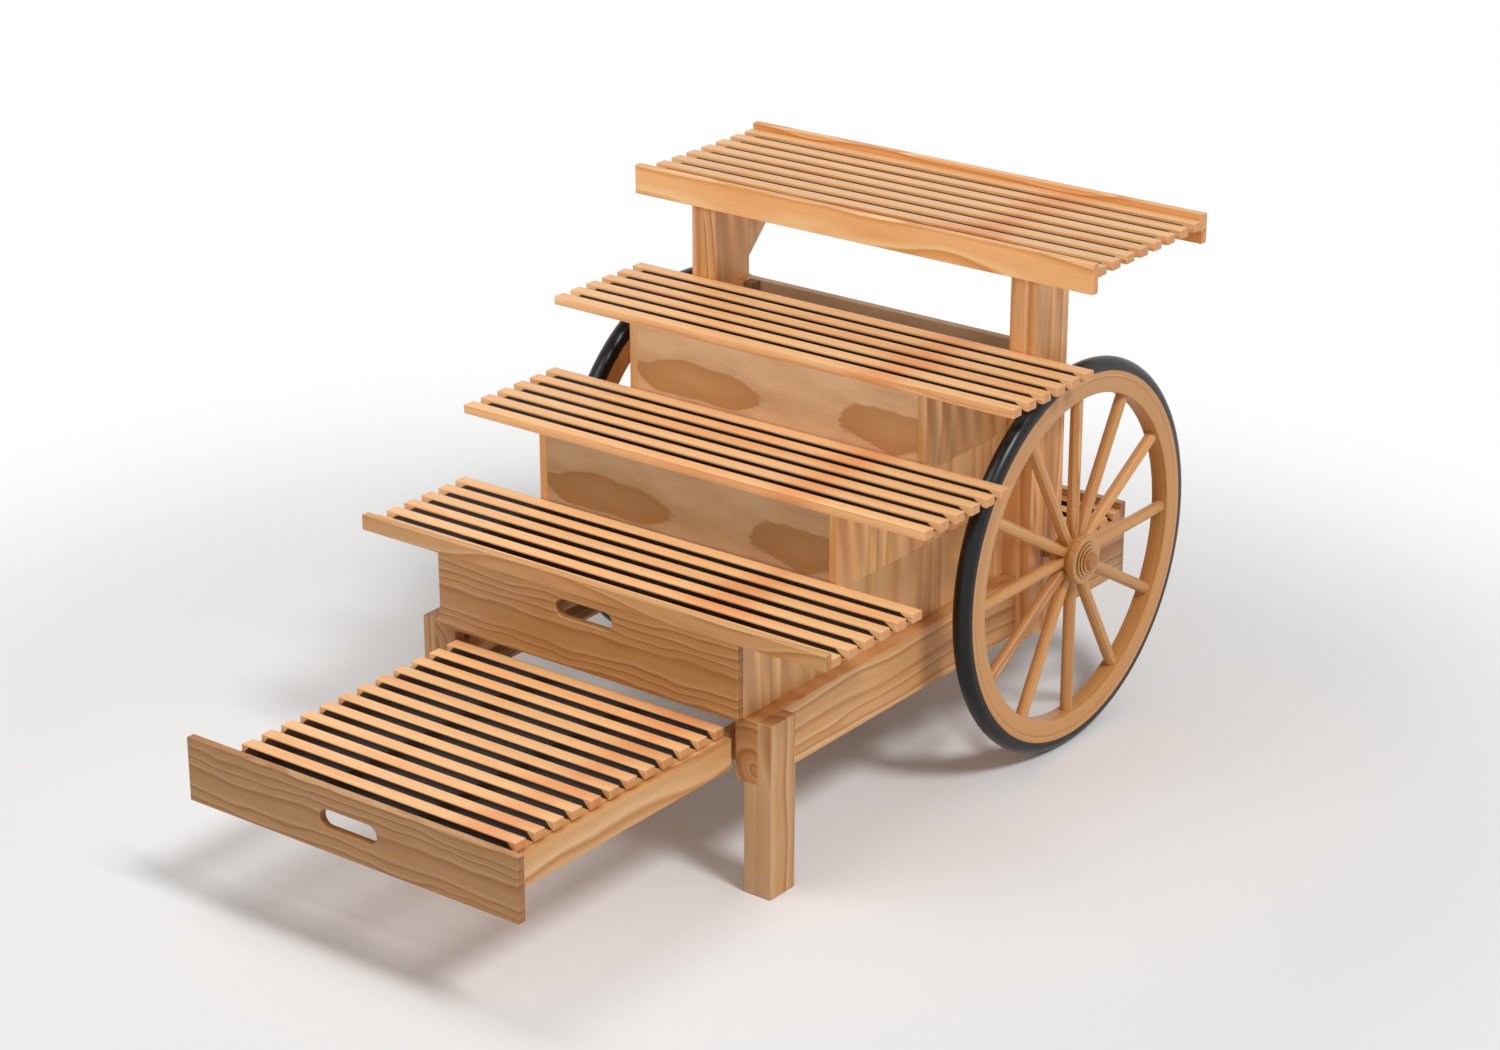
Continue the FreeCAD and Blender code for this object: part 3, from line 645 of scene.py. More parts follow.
@dataclass
class Joinery:
    """What every wooden sub-assembly does: take its boards from the CAD and give each its own grain.

    Attributes:
        shop: the workshop.
        cuts: how the boards of each of its nodes were sawn.
    """

    shop: Workshop
    cuts: tuple[Cut, ...] = ()

    def saw_all(self) -> None:
        """Dresses the boards of every cut, in order."""
        for cut in self.cuts:
            self.saw(cut)

    def saw(self, cut: Cut) -> bpy.types.Object:
        """Dresses the boards of one node, each from its own place in its own log.

        Args:
            cut: the node and how its boards were sawn.

        Returns:
            The piece that stands for the node.
        """
        mesh = self.shop.nodes[cut.node].data.copy()
        mesh.name = cut.node + "_boards"
        work = bmesh.new()
        work.from_mesh(mesh)
        bmesh.ops.remove_doubles(work, verts=work.verts, dist=WELD)
        layers = (work.verts.layers.float_vector.new("log"), work.verts.layers.float.new("tone"))
        end = work.faces.layers.float.new("end_grain")
        chance = random.Random(cut.node)
        for island in loose_islands(work):
            self.mark_board(island, cut, layers, chance)
        for face in work.faces:
            face[end] = 1.0 if abs(face.normal[cut.grain.value]) > STEEP else 0.0
            face.smooth = False
        work.to_mesh(mesh)
        work.free()
        mesh.materials.clear()
        mesh.materials.append(self.shop.finishes[cut.finish])
        return self.shop.adopt(new_piece(cut.node + "_boards", mesh), cut.node)

    @staticmethod
    def mark_board(verts: list[bmesh.types.BMVert], cut: Cut, layers: tuple[Any, Any],
                   chance: random.Random) -> None:
        """Writes each vertex's place in the log, and the board's tone.

        Args:
            verts: the vertices of one board.
            cut: how it was sawn.
            layers: the layers of the log place and of the tone.
            chance: the node's own random numbers.
        """
        low = [min(v.co[axis] for v in verts) for axis in range(3)]
        high = [max(v.co[axis] for v in verts) for axis in range(3)]
        along = cut.grain.value
        others = [axis for axis in range(3) if axis != along]
        thin, wide = sorted(others, key=lambda axis: high[axis] - low[axis])
        (near_w, far_w), (near_t, far_t) = cut.sawn.value
        shift = 0.0 if cut.sawn is Sawn.CENTRED else chance.uniform(-LOG_REACH, LOG_REACH)
        across = chance.uniform(near_w, far_w) * MM
        through = chance.uniform(near_t, far_t) * MM * chance.choice((-1.0, 1.0))
        tone = cut.level * chance.uniform(1.0 - BOARD_SPREAD, 1.0 + BOARD_SPREAD)
        middle = [(low[axis] + high[axis]) / 2.0 for axis in range(3)]
        for vert in verts:
            vert[layers[0]] = (vert.co[along] - middle[along] + shift,
                               vert.co[wide] - middle[wide] + across,
                               vert.co[thin] - middle[thin] + through)
            vert[layers[1]] = tone


def loose_islands(work: bmesh.types.BMesh) -> list[list[bmesh.types.BMVert]]:
    """The vertices of each separate solid of a mesh.

    The solids come in the order of the mesh's vertices. A set would give them in another order each
    time the script runs, and the boards' random draws with them.

    Args:
        work: the mesh, with its doubles merged.

    Returns:
        One list of vertices for each solid.
    """
    left = dict.fromkeys(work.verts)
    islands = []
    while left:
        seed = next(iter(left))
        del left[seed]
        found, edge = [seed], [seed]
        while edge:
            vert = edge.pop()
            for link in vert.link_edges:
                other = link.other_vert(vert)
                if other in left:
                    del left[other]
                    found.append(other)
                    edge.append(other)
        islands.append(found)
    return islands


# ------------------------------------------------------------------------------- geometry nodes
class NodeRecipe:
    """A geometry tree with named inputs, run once to give a plain mesh."""

    def __init__(self, name: str, inputs: dict[str, str]) -> None:
        """Starts the tree.

        Args:
            name: the tree's name.
            inputs: each input's name and its socket type.
        """
        self.tree = bpy.data.node_groups.new(name, "GeometryNodeTree")
        self.sockets = {}
        for label, kind in inputs.items():
            socket = self.tree.interface.new_socket(name=label, in_out="INPUT", socket_type=kind)
            self.sockets[label] = socket.identifier
        self.tree.interface.new_socket(name="Geometry", in_out="OUTPUT",
                                       socket_type="NodeSocketGeometry")
        self.given = add(self.tree, "NodeGroupInput").outputs

    def add(self, kind: str, inputs: dict[Any, Any] | None = None, **settings: Any) -> bpy.types.Node:
        """Adds a node to this tree."""
        return add(self.tree, kind, inputs, **settings)

    def mark(self, geometry: bpy.types.NodeSocket,
             *marks: tuple[str, str, str, bpy.types.NodeSocket]) -> bpy.types.NodeSocket:
        """Writes a row of attributes on a geometry.

        Args:
            geometry: what gets them.
            *marks: for each its name, its type, its domain and its value.

        Returns:
            The geometry that carries them.
        """
        for name, kind, domain, value in marks:
            geometry = self.add("GeometryNodeStoreNamedAttribute",
                                {"Geometry": geometry, "Name": name, "Value": value},
                                data_type=kind, domain=domain).outputs[0]
        return geometry

    def end_faces(self) -> bpy.types.NodeSocket:
        """1 on faces that look along X, the ends of a slat, and 0 elsewhere."""
        normal = self.add("GeometryNodeInputNormal").outputs[0]
        along = self.add("ShaderNodeSeparateXYZ", {0: normal}).outputs["X"]
        size = self.add("ShaderNodeMath", {0: along}, operation="ABSOLUTE").outputs[0]
        return self.add("ShaderNodeMath", {0: size, 1: STEEP}, operation="GREATER_THAN").outputs[0]

    def shaded_gap_faces(self) -> bpy.types.NodeSocket:
        """1 on the slat sides that face a gap, where shade is painted, and 0 elsewhere."""
        normal = self.add("GeometryNodeInputNormal").outputs[0]
        side = self.add("ShaderNodeSeparateXYZ", {0: normal}).outputs["Y"]
        size = self.add("ShaderNodeMath", {0: side}, operation="ABSOLUTE").outputs[0]
        steep = self.add("ShaderNodeMath", {0: size, 1: STEEP}, operation="GREATER_THAN").outputs[0]
        here = self.add("GeometryNodeInputPosition").outputs[0]
        depth = self.add("ShaderNodeSeparateXYZ", {0: here}).outputs["Y"]
        first = self.add("ShaderNodeSeparateXYZ", {0: self.given["First"]}).outputs["Y"]
        steps = self.add("ShaderNodeMath", {0: self.given["Count"], 1: 1.0}, operation="SUBTRACT")
        last = self.add("ShaderNodeMath", {0: steps.outputs[0], 1: self.given["Pitch"], 2: first},
                        operation="MULTIPLY_ADD").outputs[0]
        # a little under half the width, so that the two outermost sides of the row stay free of painted
        # shade
        inside = 0.48
        edge = self.add("ShaderNodeMath", {0: self.given["Width"], 1: inside}, operation="MULTIPLY")
        low = self.add("ShaderNodeMath", {0: first, 1: edge.outputs[0]}, operation="SUBTRACT")
        high = self.add("ShaderNodeMath", {0: last, 1: edge.outputs[0]}, operation="ADD")
        after = self.add("ShaderNodeMath", {0: depth, 1: low.outputs[0]}, operation="GREATER_THAN")
        before = self.add("ShaderNodeMath", {0: depth, 1: high.outputs[0]}, operation="LESS_THAN")
        inner = self.add("ShaderNodeMath", {0: after.outputs[0], 1: before.outputs[0]},
                         operation="MULTIPLY")
        return self.add("ShaderNodeMath", {0: steep, 1: inner.outputs[0]},
                        operation="MULTIPLY").outputs[0]

    def below_lit_top(self, local: bpy.types.NodeSocket) -> bpy.types.NodeSocket:
        """How far a point lies below where a slat's painted shade starts, in shares of the slat's height.

        Args:
            local: the point's place from the slat's middle.

        Returns:
            The share, below 0 above that line and lower at the slat's ends, which are left lit.
        """
        place = self.add("ShaderNodeSeparateXYZ", {0: local}).outputs
        share = self.add("ShaderNodeMath", {0: place["Z"], 1: self.given["Thickness"]},
                         operation="DIVIDE").outputs[0]
        top = self.add("ShaderNodeMath", {0: 0.5, 1: self.given["Clean"]}, operation="SUBTRACT")
        below = self.add("ShaderNodeMath", {0: top.outputs[0], 1: share}, operation="SUBTRACT")
        out = self.add("ShaderNodeMath", {0: place["X"]}, operation="ABSOLUTE").outputs[0]
        reach = self.add("ShaderNodeMath", {0: out, 1: self.given["Length"]}, operation="DIVIDE")
        # a little under half the length: past it lie only the points at a slat's ends
        end = 0.49
        at_end = self.add("ShaderNodeMath", {0: reach.outputs[0], 1: end}, operation="GREATER_THAN")
        return self.add("ShaderNodeMath", {0: at_end.outputs[0], 1: -1.0, 2: below.outputs[0]},
                        operation="MULTIPLY_ADD").outputs[0]

    def individual(self, instances: bpy.types.NodeSocket, pith: tuple[Vector, Vector],
                   spread: float) -> bpy.types.NodeSocket:
        """Gives each instance its own tone and its own place in a log.

        Args:
            instances: the instances.
            pith: the least and the greatest offset from the pith.
            spread: how far the tones lie apart, each way from 1.

        Returns:
            The instances, with the attributes tone and pith.
        """
        seed = self.given["Seed"]
        # another seed, so that an instance's tone doesn't tell its place in the log
        seed_step = 17.0
        later = self.add("ShaderNodeMath", {0: seed, 1: seed_step}, operation="ADD").outputs[0]
        tone = self.add("FunctionNodeRandomValue", {2: 1.0 - spread, 3: 1.0 + spread, "Seed": seed},
                        data_type="FLOAT").outputs[1]
        place = self.add("FunctionNodeRandomValue", {0: pith[0], 1: pith[1], "Seed": later},
                         data_type="FLOAT_VECTOR").outputs[0]
        return self.mark(instances, ("tone", "FLOAT", "INSTANCE", tone),
                         ("pith", "FLOAT_VECTOR", "INSTANCE", place))

    def finish(self, geometry: bpy.types.NodeSocket) -> None:
        """Ends the tree: the helper attribute goes, and the finish is set."""
        bare = self.add("GeometryNodeRemoveAttribute", {"Geometry": geometry, "Name": "pith"})
        coated = self.add("GeometryNodeSetMaterial", {"Geometry": bare.outputs[0],
                                                      "Material": self.given["Finish"]})
        self.add("NodeGroupOutput", {0: coated.outputs[0]})

    def run(self, name: str, values: dict[str, Any]) -> bpy.types.Object:
        """Evaluates the tree on an empty mesh and keeps the result as a plain piece.

        Args:
            name: the new piece's name.
            values: a value for each named input.

        Returns:
            The piece, with no modifier.
        """
        carrier = new_piece(name + "_carrier", bpy.data.meshes.new(name + "_carrier"))
        modifier = carrier.modifiers.new("build", "NODES")
        modifier.node_group = self.tree
        for label, value in values.items():
            modifier[self.sockets[label]] = value
        bpy.context.view_layer.update()
        graph = bpy.context.evaluated_depsgraph_get()
        mesh = bpy.data.meshes.new_from_object(carrier.evaluated_get(graph), depsgraph=graph)
        mesh.name = name
        carrier.modifiers.remove(modifier)
        bpy.data.objects.remove(carrier)
        return new_piece(name, mesh)


def slat_recipe() -> NodeRecipe:
    """A row of slats across the stand, each with eased edges and its own grain.

    Returns:
        The recipe, with the row's sizes as its inputs.
    """
    recipe = NodeRecipe("slat_row", {
        "Count": "NodeSocketInt", "Pitch": "NodeSocketFloat", "Length": "NodeSocketFloat",
        "Width": "NodeSocketFloat", "Thickness": "NodeSocketFloat", "Ease": "NodeSocketFloat",
        "Clean": "NodeSocketFloat", "First": "NodeSocketVector", "Seed": "NodeSocketInt",
        "Finish": "NodeSocketMaterial"})
    corner_steps, points_along = 2, 40
    # an end face is a little smaller than the slat, so that its edges are eased too
    end_scale = 0.955
    pith_least, pith_most = Vector((-LOG_REACH, 0.045, -0.012)), Vector((LOG_REACH, 0.120, 0.030))
    tone_spread = 0.05
    given = recipe.given
    section = recipe.add("GeometryNodeCurvePrimitiveQuadrilateral",
                         {"Width": given["Width"], "Height": given["Thickness"]})
    round_edges = recipe.add("GeometryNodeFilletCurve",
                             {"Curve": section.outputs[0], "Count": corner_steps,
                              "Radius": given["Ease"]}, mode="POLY")
    doubled = recipe.add("ShaderNodeMath", {0: given["Ease"], 1: 2.0}, operation="MULTIPLY")
    core = recipe.add("ShaderNodeMath", {0: given["Length"], 1: doubled.outputs[0]},
                      operation="SUBTRACT")
    half = recipe.add("ShaderNodeMath", {0: core.outputs[0], 1: 0.5}, operation="MULTIPLY")
    minus = recipe.add("ShaderNodeMath", {0: half.outputs[0], 1: -1.0}, operation="MULTIPLY")
    start = recipe.add("ShaderNodeCombineXYZ", {0: minus.outputs[0]})
    stop = recipe.add("ShaderNodeCombineXYZ", {0: half.outputs[0]})
    line = recipe.add("GeometryNodeCurvePrimitiveLine", {"Start": start.outputs[0],
                                                         "End": stop.outputs[0]})
    cut_up = recipe.add("GeometryNodeResampleCurve", {"Curve": line.outputs[0],
                                                      "Count": points_along})
    bar = recipe.add("GeometryNodeCurveToMesh", {"Curve": cut_up.outputs[0], "Fill Caps": True,
                                                 "Profile Curve": round_edges.outputs[0]})
    ends = recipe.end_faces()
    eased = recipe.add("GeometryNodeExtrudeMesh", {"Mesh": bar.outputs[0], "Selection": ends,
                                                   "Offset Scale": given["Ease"]}, mode="FACES")
    slat = recipe.add("GeometryNodeScaleElements", {"Geometry": eased.outputs["Mesh"],
                                                    "Scale": end_scale,
                                                    "Selection": eased.outputs["Top"]})
    step = recipe.add("ShaderNodeCombineXYZ", {1: given["Pitch"]})
    places = recipe.add("GeometryNodeMeshLine", {"Count": given["Count"], "Offset": step.outputs[0],
                                                 "Start Location": given["First"]})
    row = recipe.add("GeometryNodeInstanceOnPoints", {"Points": places.outputs[0],
                                                      "Instance": slat.outputs[0]})
    middle = recipe.add("GeometryNodeInputPosition").outputs[0]
    kept = recipe.mark(row.outputs[0], ("middle", "FLOAT_VECTOR", "INSTANCE", middle))
    own = recipe.individual(kept, (pith_least, pith_most), tone_spread)
    solid = recipe.add("GeometryNodeRealizeInstances", {0: own}).outputs[0]
    here = recipe.add("GeometryNodeInputPosition").outputs[0]
    slat_middle = recipe.add("GeometryNodeInputNamedAttribute", {"Name": "middle"},
                             data_type="FLOAT_VECTOR")
    local = recipe.add("ShaderNodeVectorMath", {0: here, 1: slat_middle.outputs[0]},
                       operation="SUBTRACT").outputs[0]
    pith = recipe.add("GeometryNodeInputNamedAttribute", {"Name": "pith"}, data_type="FLOAT_VECTOR")
    log = recipe.add("ShaderNodeVectorMath", {0: local, 1: pith.outputs[0]}, operation="ADD")
    marked = recipe.mark(solid, ("log", "FLOAT_VECTOR", "POINT", log.outputs[0]),
                         ("end_grain", "FLOAT", "FACE", recipe.end_faces()),
                         # painted shade: which faces look into a gap, and how far each point lies below
                         # the slat's lit top
                         ("gap", "FLOAT", "FACE", recipe.shaded_gap_faces()),
                         ("low", "FLOAT", "POINT", recipe.below_lit_top(local)))
    bare = recipe.add("GeometryNodeRemoveAttribute", {"Geometry": marked, "Name": "middle"})
    recipe.finish(bare.outputs[0])
    return recipe


def spoke_recipe() -> NodeRecipe:
    """Spokes set round a hub, each with its own grain.

    Returns:
        The recipe, with the wheel's middle and its count of spokes as inputs.
    """
    recipe = NodeRecipe("spoke_ring", {
        "Spoke": "NodeSocketObject", "Count": "NodeSocketInt", "Middle": "NodeSocketVector",
        "Seed": "NodeSocketInt", "Finish": "NodeSocketMaterial"})
    pith_least, pith_most = Vector((-LOG_REACH, 0.015, -0.02)), Vector((LOG_REACH, 0.05, 0.02))
    tone_spread = 0.16
    given = recipe.given
    spoke = recipe.add("GeometryNodeObjectInfo", {"Object": given["Spoke"]})
    places = recipe.add("GeometryNodeMeshLine", {"Count": given["Count"], "Offset": (0.0, 0.0, 0.0),
                                                 "Start Location": given["Middle"]})
    index = recipe.add("GeometryNodeInputIndex").outputs[0]
    turn = recipe.add("ShaderNodeMath", {0: index, 1: 2.0 * math.pi}, operation="MULTIPLY")
    angle = recipe.add("ShaderNodeMath", {0: turn.outputs[0], 1: given["Count"]}, operation="DIVIDE")
    about = recipe.add("ShaderNodeCombineXYZ", {0: angle.outputs[0]})
    ring = recipe.add("GeometryNodeInstanceOnPoints", {"Points": places.outputs[0],
                                                       "Instance": spoke.outputs["Geometry"],
                                                       "Rotation": about.outputs[0]})
    own = recipe.individual(ring.outputs[0], (pith_least, pith_most), tone_spread)
    solid = recipe.add("GeometryNodeRealizeInstances", {0: own}).outputs[0]
    own_log, pith = (recipe.add("GeometryNodeInputNamedAttribute", {"Name": name},
                                data_type="FLOAT_VECTOR").outputs[0] for name in ("log", "pith"))
    log = recipe.add("ShaderNodeVectorMath", {0: own_log, 1: pith}, operation="ADD")
    recipe.finish(recipe.mark(solid, ("log", "FLOAT_VECTOR", "POINT", log.outputs[0])))
    return recipe


# ------------------------------------------------------------------------------- sub-assemblies
@dataclass
class SlatRow:
    """A row of slats that stands for one CAD node, laid out between that node's own ends.

    Attributes:
        shop: the workshop.
        node: the CAD node.
        count: how many slats.
        lit_share: share of a slat's height below its top that stays lit in a gap, above the painted shade.
        width: a slat's width.
        ease: rounding of the long edges.
    """

    shop: Workshop
    node: str
    count: int
    lit_share: float
    width: float = 28.5 * MM
    ease: float = 1.0 * MM

    def build(self, recipe: NodeRecipe) -> bpy.types.Object:
        """Lays the row with the slat recipe and lets it stand for the node."""
        low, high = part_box(self.node)
        pitch = (high.y - low.y - self.width) / (self.count - 1)
        first = Vector(((low.x + high.x) / 2.0, low.y + self.width / 2.0, (low.z + high.z) / 2.0))
        piece = recipe.run(self.node + "_laid", {
            "Count": self.count, "Pitch": pitch, "Length": high.x - low.x, "Width": self.width,
            "Thickness": high.z - low.z, "Ease": self.ease, "Clean": self.lit_share, "First": first,
            "Seed": sum(map(ord, self.node)), "Finish": self.shop.finishes[Finish.SLAT]})
        return self.shop.adopt(piece, self.node)


@dataclass
class Base(Joinery):
    """Side rails, legs and rear posts, with what carries the tray between them."""

    cuts: tuple[Cut, ...] = (
        Cut("side_rail_right", Grain.Y, Finish.PLANK), Cut("side_rail_left", Grain.Y, Finish.PLANK),
        Cut("leg_outer_planks", Grain.Z, Finish.PLANK, Sawn.RIFT, 0.86),
        Cut("leg_inner_planks", Grain.Z, Finish.PLANK, Sawn.RIFT, 0.86),
        # painted light: level 1.18 brightens the rear posts for the stronger light high on the stand
        Cut("post_outer_planks", Grain.Z, Finish.PLANK, level=1.18),
        Cut("post_inner_planks", Grain.Z, Finish.PLANK, level=1.18),
        Cut("cross_rails", Grain.X, Finish.HIDDEN), Cut("rear_tie_board", Grain.X, Finish.HIDDEN),
        Cut("tray_guide_blocks", Grain.Y, Finish.HIDDEN, Sawn.QUARTER),
        Cut("tray_guide_battens", Grain.Y, Finish.HIDDEN, Sawn.QUARTER),
    )

    def build(self) -> None:
        """Dresses the base."""
        self.saw_all()
        self.shop.coat("lag_screws", Finish.ZINC)


@dataclass
class Crates(Joinery):
    """The three stepped crates, whose front panels are the risers between the shelves."""

    cuts: tuple[Cut, ...] = (
        Cut("crate_1_front", Grain.X, Finish.PANEL, Sawn.BROAD, 0.97),
        # painted shade: level 0.67 darkens crate 2's front for the weaker light that reaches it
        Cut("crate_2_front", Grain.X, Finish.PLYWOOD, Sawn.CENTRED, 0.67),
        Cut("crate_3_front", Grain.X, Finish.PLYWOOD, Sawn.CENTRED),
        Cut("crate_1_back", Grain.X, Finish.PLYWOOD, level=0.8),
        Cut("crate_2_back", Grain.X, Finish.PLYWOOD, level=0.8),
        # painted shade: level 0.7 darkens crate 3's back, in the shaded well behind shelf 3
        Cut("crate_3_back", Grain.X, Finish.PLYWOOD, level=0.7),
        Cut("crate_1_sides", Grain.Z, Finish.SIDE),
        Cut("crate_2_sides", Grain.Z, Finish.SIDE, level=1.15),
        Cut("crate_3_sides", Grain.Z, Finish.SIDE),
        Cut("crate_corner_blocks", Grain.Z, Finish.HIDDEN, Sawn.RIFT),
    )

    def build(self) -> None:
        """Dresses the crates."""
        self.saw_all()


@dataclass
class Shelves(Joinery):
    """The three slatted shelves on the crates, the low ledge behind them and the raised top shelf.

    Attributes:
        rows: for each row of slats its CAD node, its count and its lit share (see SlatRow).
    """

    rows: tuple[tuple[str, int, float], ...] = (
        ("shelf_1_slats", 6, 0.10), ("shelf_2_slats", 6, 0.16), ("shelf_3_slats", 6, 0.18),
        ("ledge_slats", 6, 0.0), ("top_slats", 8, 0.27))
    cuts: tuple[Cut, ...] = (
        # painted shade on the low shelf's apron (level 0.72) and painted light on the top aprons (1.08),
        # for how the light falls on them
        Cut("shelf_1_apron", Grain.X, Finish.APRON, level=0.72),
        Cut("ledge_apron", Grain.X, Finish.APRON, level=0.8),
        Cut("top_apron_front", Grain.X, Finish.APRON, level=1.08),
        Cut("top_apron_back", Grain.X, Finish.APRON, level=1.08),
        Cut("shelf_ribs", Grain.Y, Finish.HIDDEN), Cut("shelf_3_bearer", Grain.X, Finish.HIDDEN),
        Cut("ledge_bearer", Grain.X, Finish.HIDDEN), Cut("ledge_ribs", Grain.Y, Finish.HIDDEN),
        Cut("top_bearers", Grain.Y, Finish.SIDE), Cut("top_braces", Grain.Y, Finish.SIDE),
    )

    def build(self, recipe: NodeRecipe) -> None:
        """Lays the slat rows and dresses what carries them."""
        for node, count, lit_share in self.rows:
            SlatRow(self.shop, node, count, lit_share).build(recipe)
        self.saw_all()


@dataclass
class Tray(Joinery):
    """The pull-out tray: slotted front panel, side boards, grooved runners and slats.

    Attributes:
        slats: how many slats.
        lit_share: their lit share (see SlatRow).
    """

    slats: int = 13
    lit_share: float = 0.05
    cuts: tuple[Cut, ...] = (
        # painted shade: level 0.88 darkens the tray's low front panel
        Cut("tray_front_panel", Grain.X, Finish.PANEL, Sawn.BROAD, 0.88),
        Cut("tray_side_boards", Grain.Y, Finish.PLANK),
        Cut("tray_runners", Grain.Y, Finish.SIDE), Cut("tray_cross_rail", Grain.X, Finish.HIDDEN),
        Cut("tray_ribs", Grain.Y, Finish.HIDDEN), Cut("tray_corner_blocks", Grain.Z, Finish.HIDDEN),
    )

    def build(self, recipe: NodeRecipe) -> None:
        """Lays the tray's slats and dresses its boards."""
        SlatRow(self.shop, "tray_slats", self.slats, self.lit_share).build(recipe)
        self.saw_all()
        self.shop.coat("tray_screws", Finish.ZINC)


@dataclass
class Wheel:
    """One wheel: solid tyre, bent rim, round spokes pinched at the foot, and a turned hub.

    Attributes:
        shop: the workshop.
        side: right or left, as the CAD nodes are named.
        plane_mm: distance of the spokes' plane from the middle of the stand.
        radius_mm: outer radius of the tyre.
        tyre_mm: height of the tyre.
        rim_height_mm: height of the rim.
        rim_width_mm: width of rim and tyre.
        rim_ease_mm: rounding of the rim's inner edges.
        spokes: how many spokes.
        spoke_mm: a spoke's radius.
        foot_mm: half width between the flats of a spoke's foot.
        foot_reach_mm: radius at which the flats run out.
        barrel_mm: radius of the hub's barrel.
        flange_mm: radius of the hub's flange.
        rings_mm: radii of the three turned rings outside the flange.
        ring_step_mm: how far each ring stands out.
        pocket_mm: radius of the pocket that the cap closes.
        pocket_depth_mm: depth of that pocket.
        bore_mm: radius of the hole for the bush.
        barrel_inner_mm: reach of the barrel towards the stand.
        barrel_outer_mm: reach of the barrel outward.
        flange_width_mm: width of the flange.
        shoulder: share of the tyre's height that its straight shoulders take.
        crown_steps: steps from the middle of the tyre's crown to its shoulder.
        bead_mm: bevel of the tyre's inner edges, across and in height.
        hub_ease_mm: rounding of the hub's edges, and how far its middle lies in from both faces.
        ring_ease_mm: bevel of the turned rings.
        sunk_mm: how deep a spoke stands in the barrel and in the rim.
        rim_pith_mm: the pith's distance from the rim's middle, in radius and across.
        hub_pith_mm: the pith's distance from the axle, along Y and up.
        ring_shade: how much painted shade darkens the steps of the turned rings.
        spoke_seeds: the random seeds of the right and the left wheel's spokes.
        rim_steps: steps round the tyre and the rim.
        hub_steps: steps round the hub.
        spoke_sides: sides of a spoke.
        turned_sharp_deg: angle past which an edge of a turned piece is sharp.
        spoke_sharp_deg: the same for a spoke.
    """

    shop: Workshop
    side: str
    plane_mm: float = 486.5
    radius_mm: float = 406.4
    tyre_mm: float = 25.4
    rim_height_mm: float = 44.5
    rim_width_mm: float = 38.0
    rim_ease_mm: float = 2.5
    spokes: int = 12
    spoke_mm: float = 12.5
    foot_mm: float = 9.1
    foot_reach_mm: float = 104.0
    barrel_mm: float = 42.0
    flange_mm: float = 49.7
    rings_mm: tuple[float, float, float] = (37.4, 31.0, 24.2)
    ring_step_mm: float = 3.3
    pocket_mm: float = 20.0
    pocket_depth_mm: float = 29.0
    bore_mm: float = 15.25
    barrel_inner_mm: float = 24.2
    barrel_outer_mm: float = 19.3
    flange_width_mm: float = 16.5
    shoulder: float = 0.35
    crown_steps: int = 8
    bead_mm: tuple[float, float] = (0.6, 0.8)
    hub_ease_mm: tuple[float, float] = (1.2, 0.35)
    ring_ease_mm: float = 0.6
    sunk_mm: tuple[float, float] = (1.4, 1.2)
    rim_pith_mm: tuple[float, float] = (8.0, 46.0)
    hub_pith_mm: tuple[float, float] = (60.0, -85.0)
    ring_shade: float = 0.75
    spoke_seeds: tuple[int, int] = (5, 9)
    rim_steps: int = 144
    hub_steps: int = 96
    spoke_sides: int = 40
    turned_sharp_deg: float = 32.0
    spoke_sharp_deg: float = 25.0

    def __post_init__(self) -> None:
        """Finds the wheel's middle and its outward direction from the CAD."""
        low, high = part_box(f"wheel_{self.side}_tyre")
        self.out = 1.0 if self.side == "right" else -1.0
        self.middle = Vector((self.out * self.plane_mm * MM, (low.y + high.y) / 2.0,
                              (low.z + high.z) / 2.0))

    def build(self, recipe: NodeRecipe) -> None:
        """Builds the wheel's pieces and lets them stand for their nodes."""
        self.tyre()
        self.rim()
        self.hub()
        self.cap()
        self.spoke_ring(recipe)
        self.shop.coat(f"wheel_{self.side}_bush", Finish.BRONZE)

    @property
    def seat_mm(self) -> float:
        """Radius at which the tyre sits on the rim."""
        return self.radius_mm - self.tyre_mm

    def tyre(self) -> None:
        """Solid tyre with straight shoulders and a round crown."""
        seat, half = self.seat_mm, self.rim_width_mm / 2.0
        rise = self.radius_mm - (seat + self.shoulder * self.tyre_mm)
        bow = (half * half + rise * rise) / (2.0 * rise)
        sweep = math.asin(half / bow) / self.crown_steps
        crown = [(bow * math.sin(sweep * step), self.radius_mm - bow + bow * math.cos(sweep * step))
                 for step in range(-self.crown_steps, self.crown_steps + 1)]
        across, up = self.bead_mm
        profile = [(-half + across, seat), (-half, seat + up)] + crown + [(half, seat + up),
                                                                          (half - across, seat)]
        self.turn("tyre", profile, self.rim_steps, Finish.RUBBER)

    def rim(self) -> None:
        """Bent rim, whose grain follows the circle."""
        outer = self.seat_mm
        inner = outer - self.rim_height_mm
        half = self.rim_width_mm / 2.0
        ease = self.rim_ease_mm
        # a rounding's middle lies in from both faces by about 0.3 of its radius
        mid = ease * 0.3
        profile = [(-half, outer), (-half, inner + ease), (-half + mid, inner + mid),
                   (-half + ease, inner), (half - ease, inner), (half - mid, inner + mid),
                   (half, inner + ease), (half, outer)]
        self.turn("rim", profile, self.rim_steps, Finish.BENT)

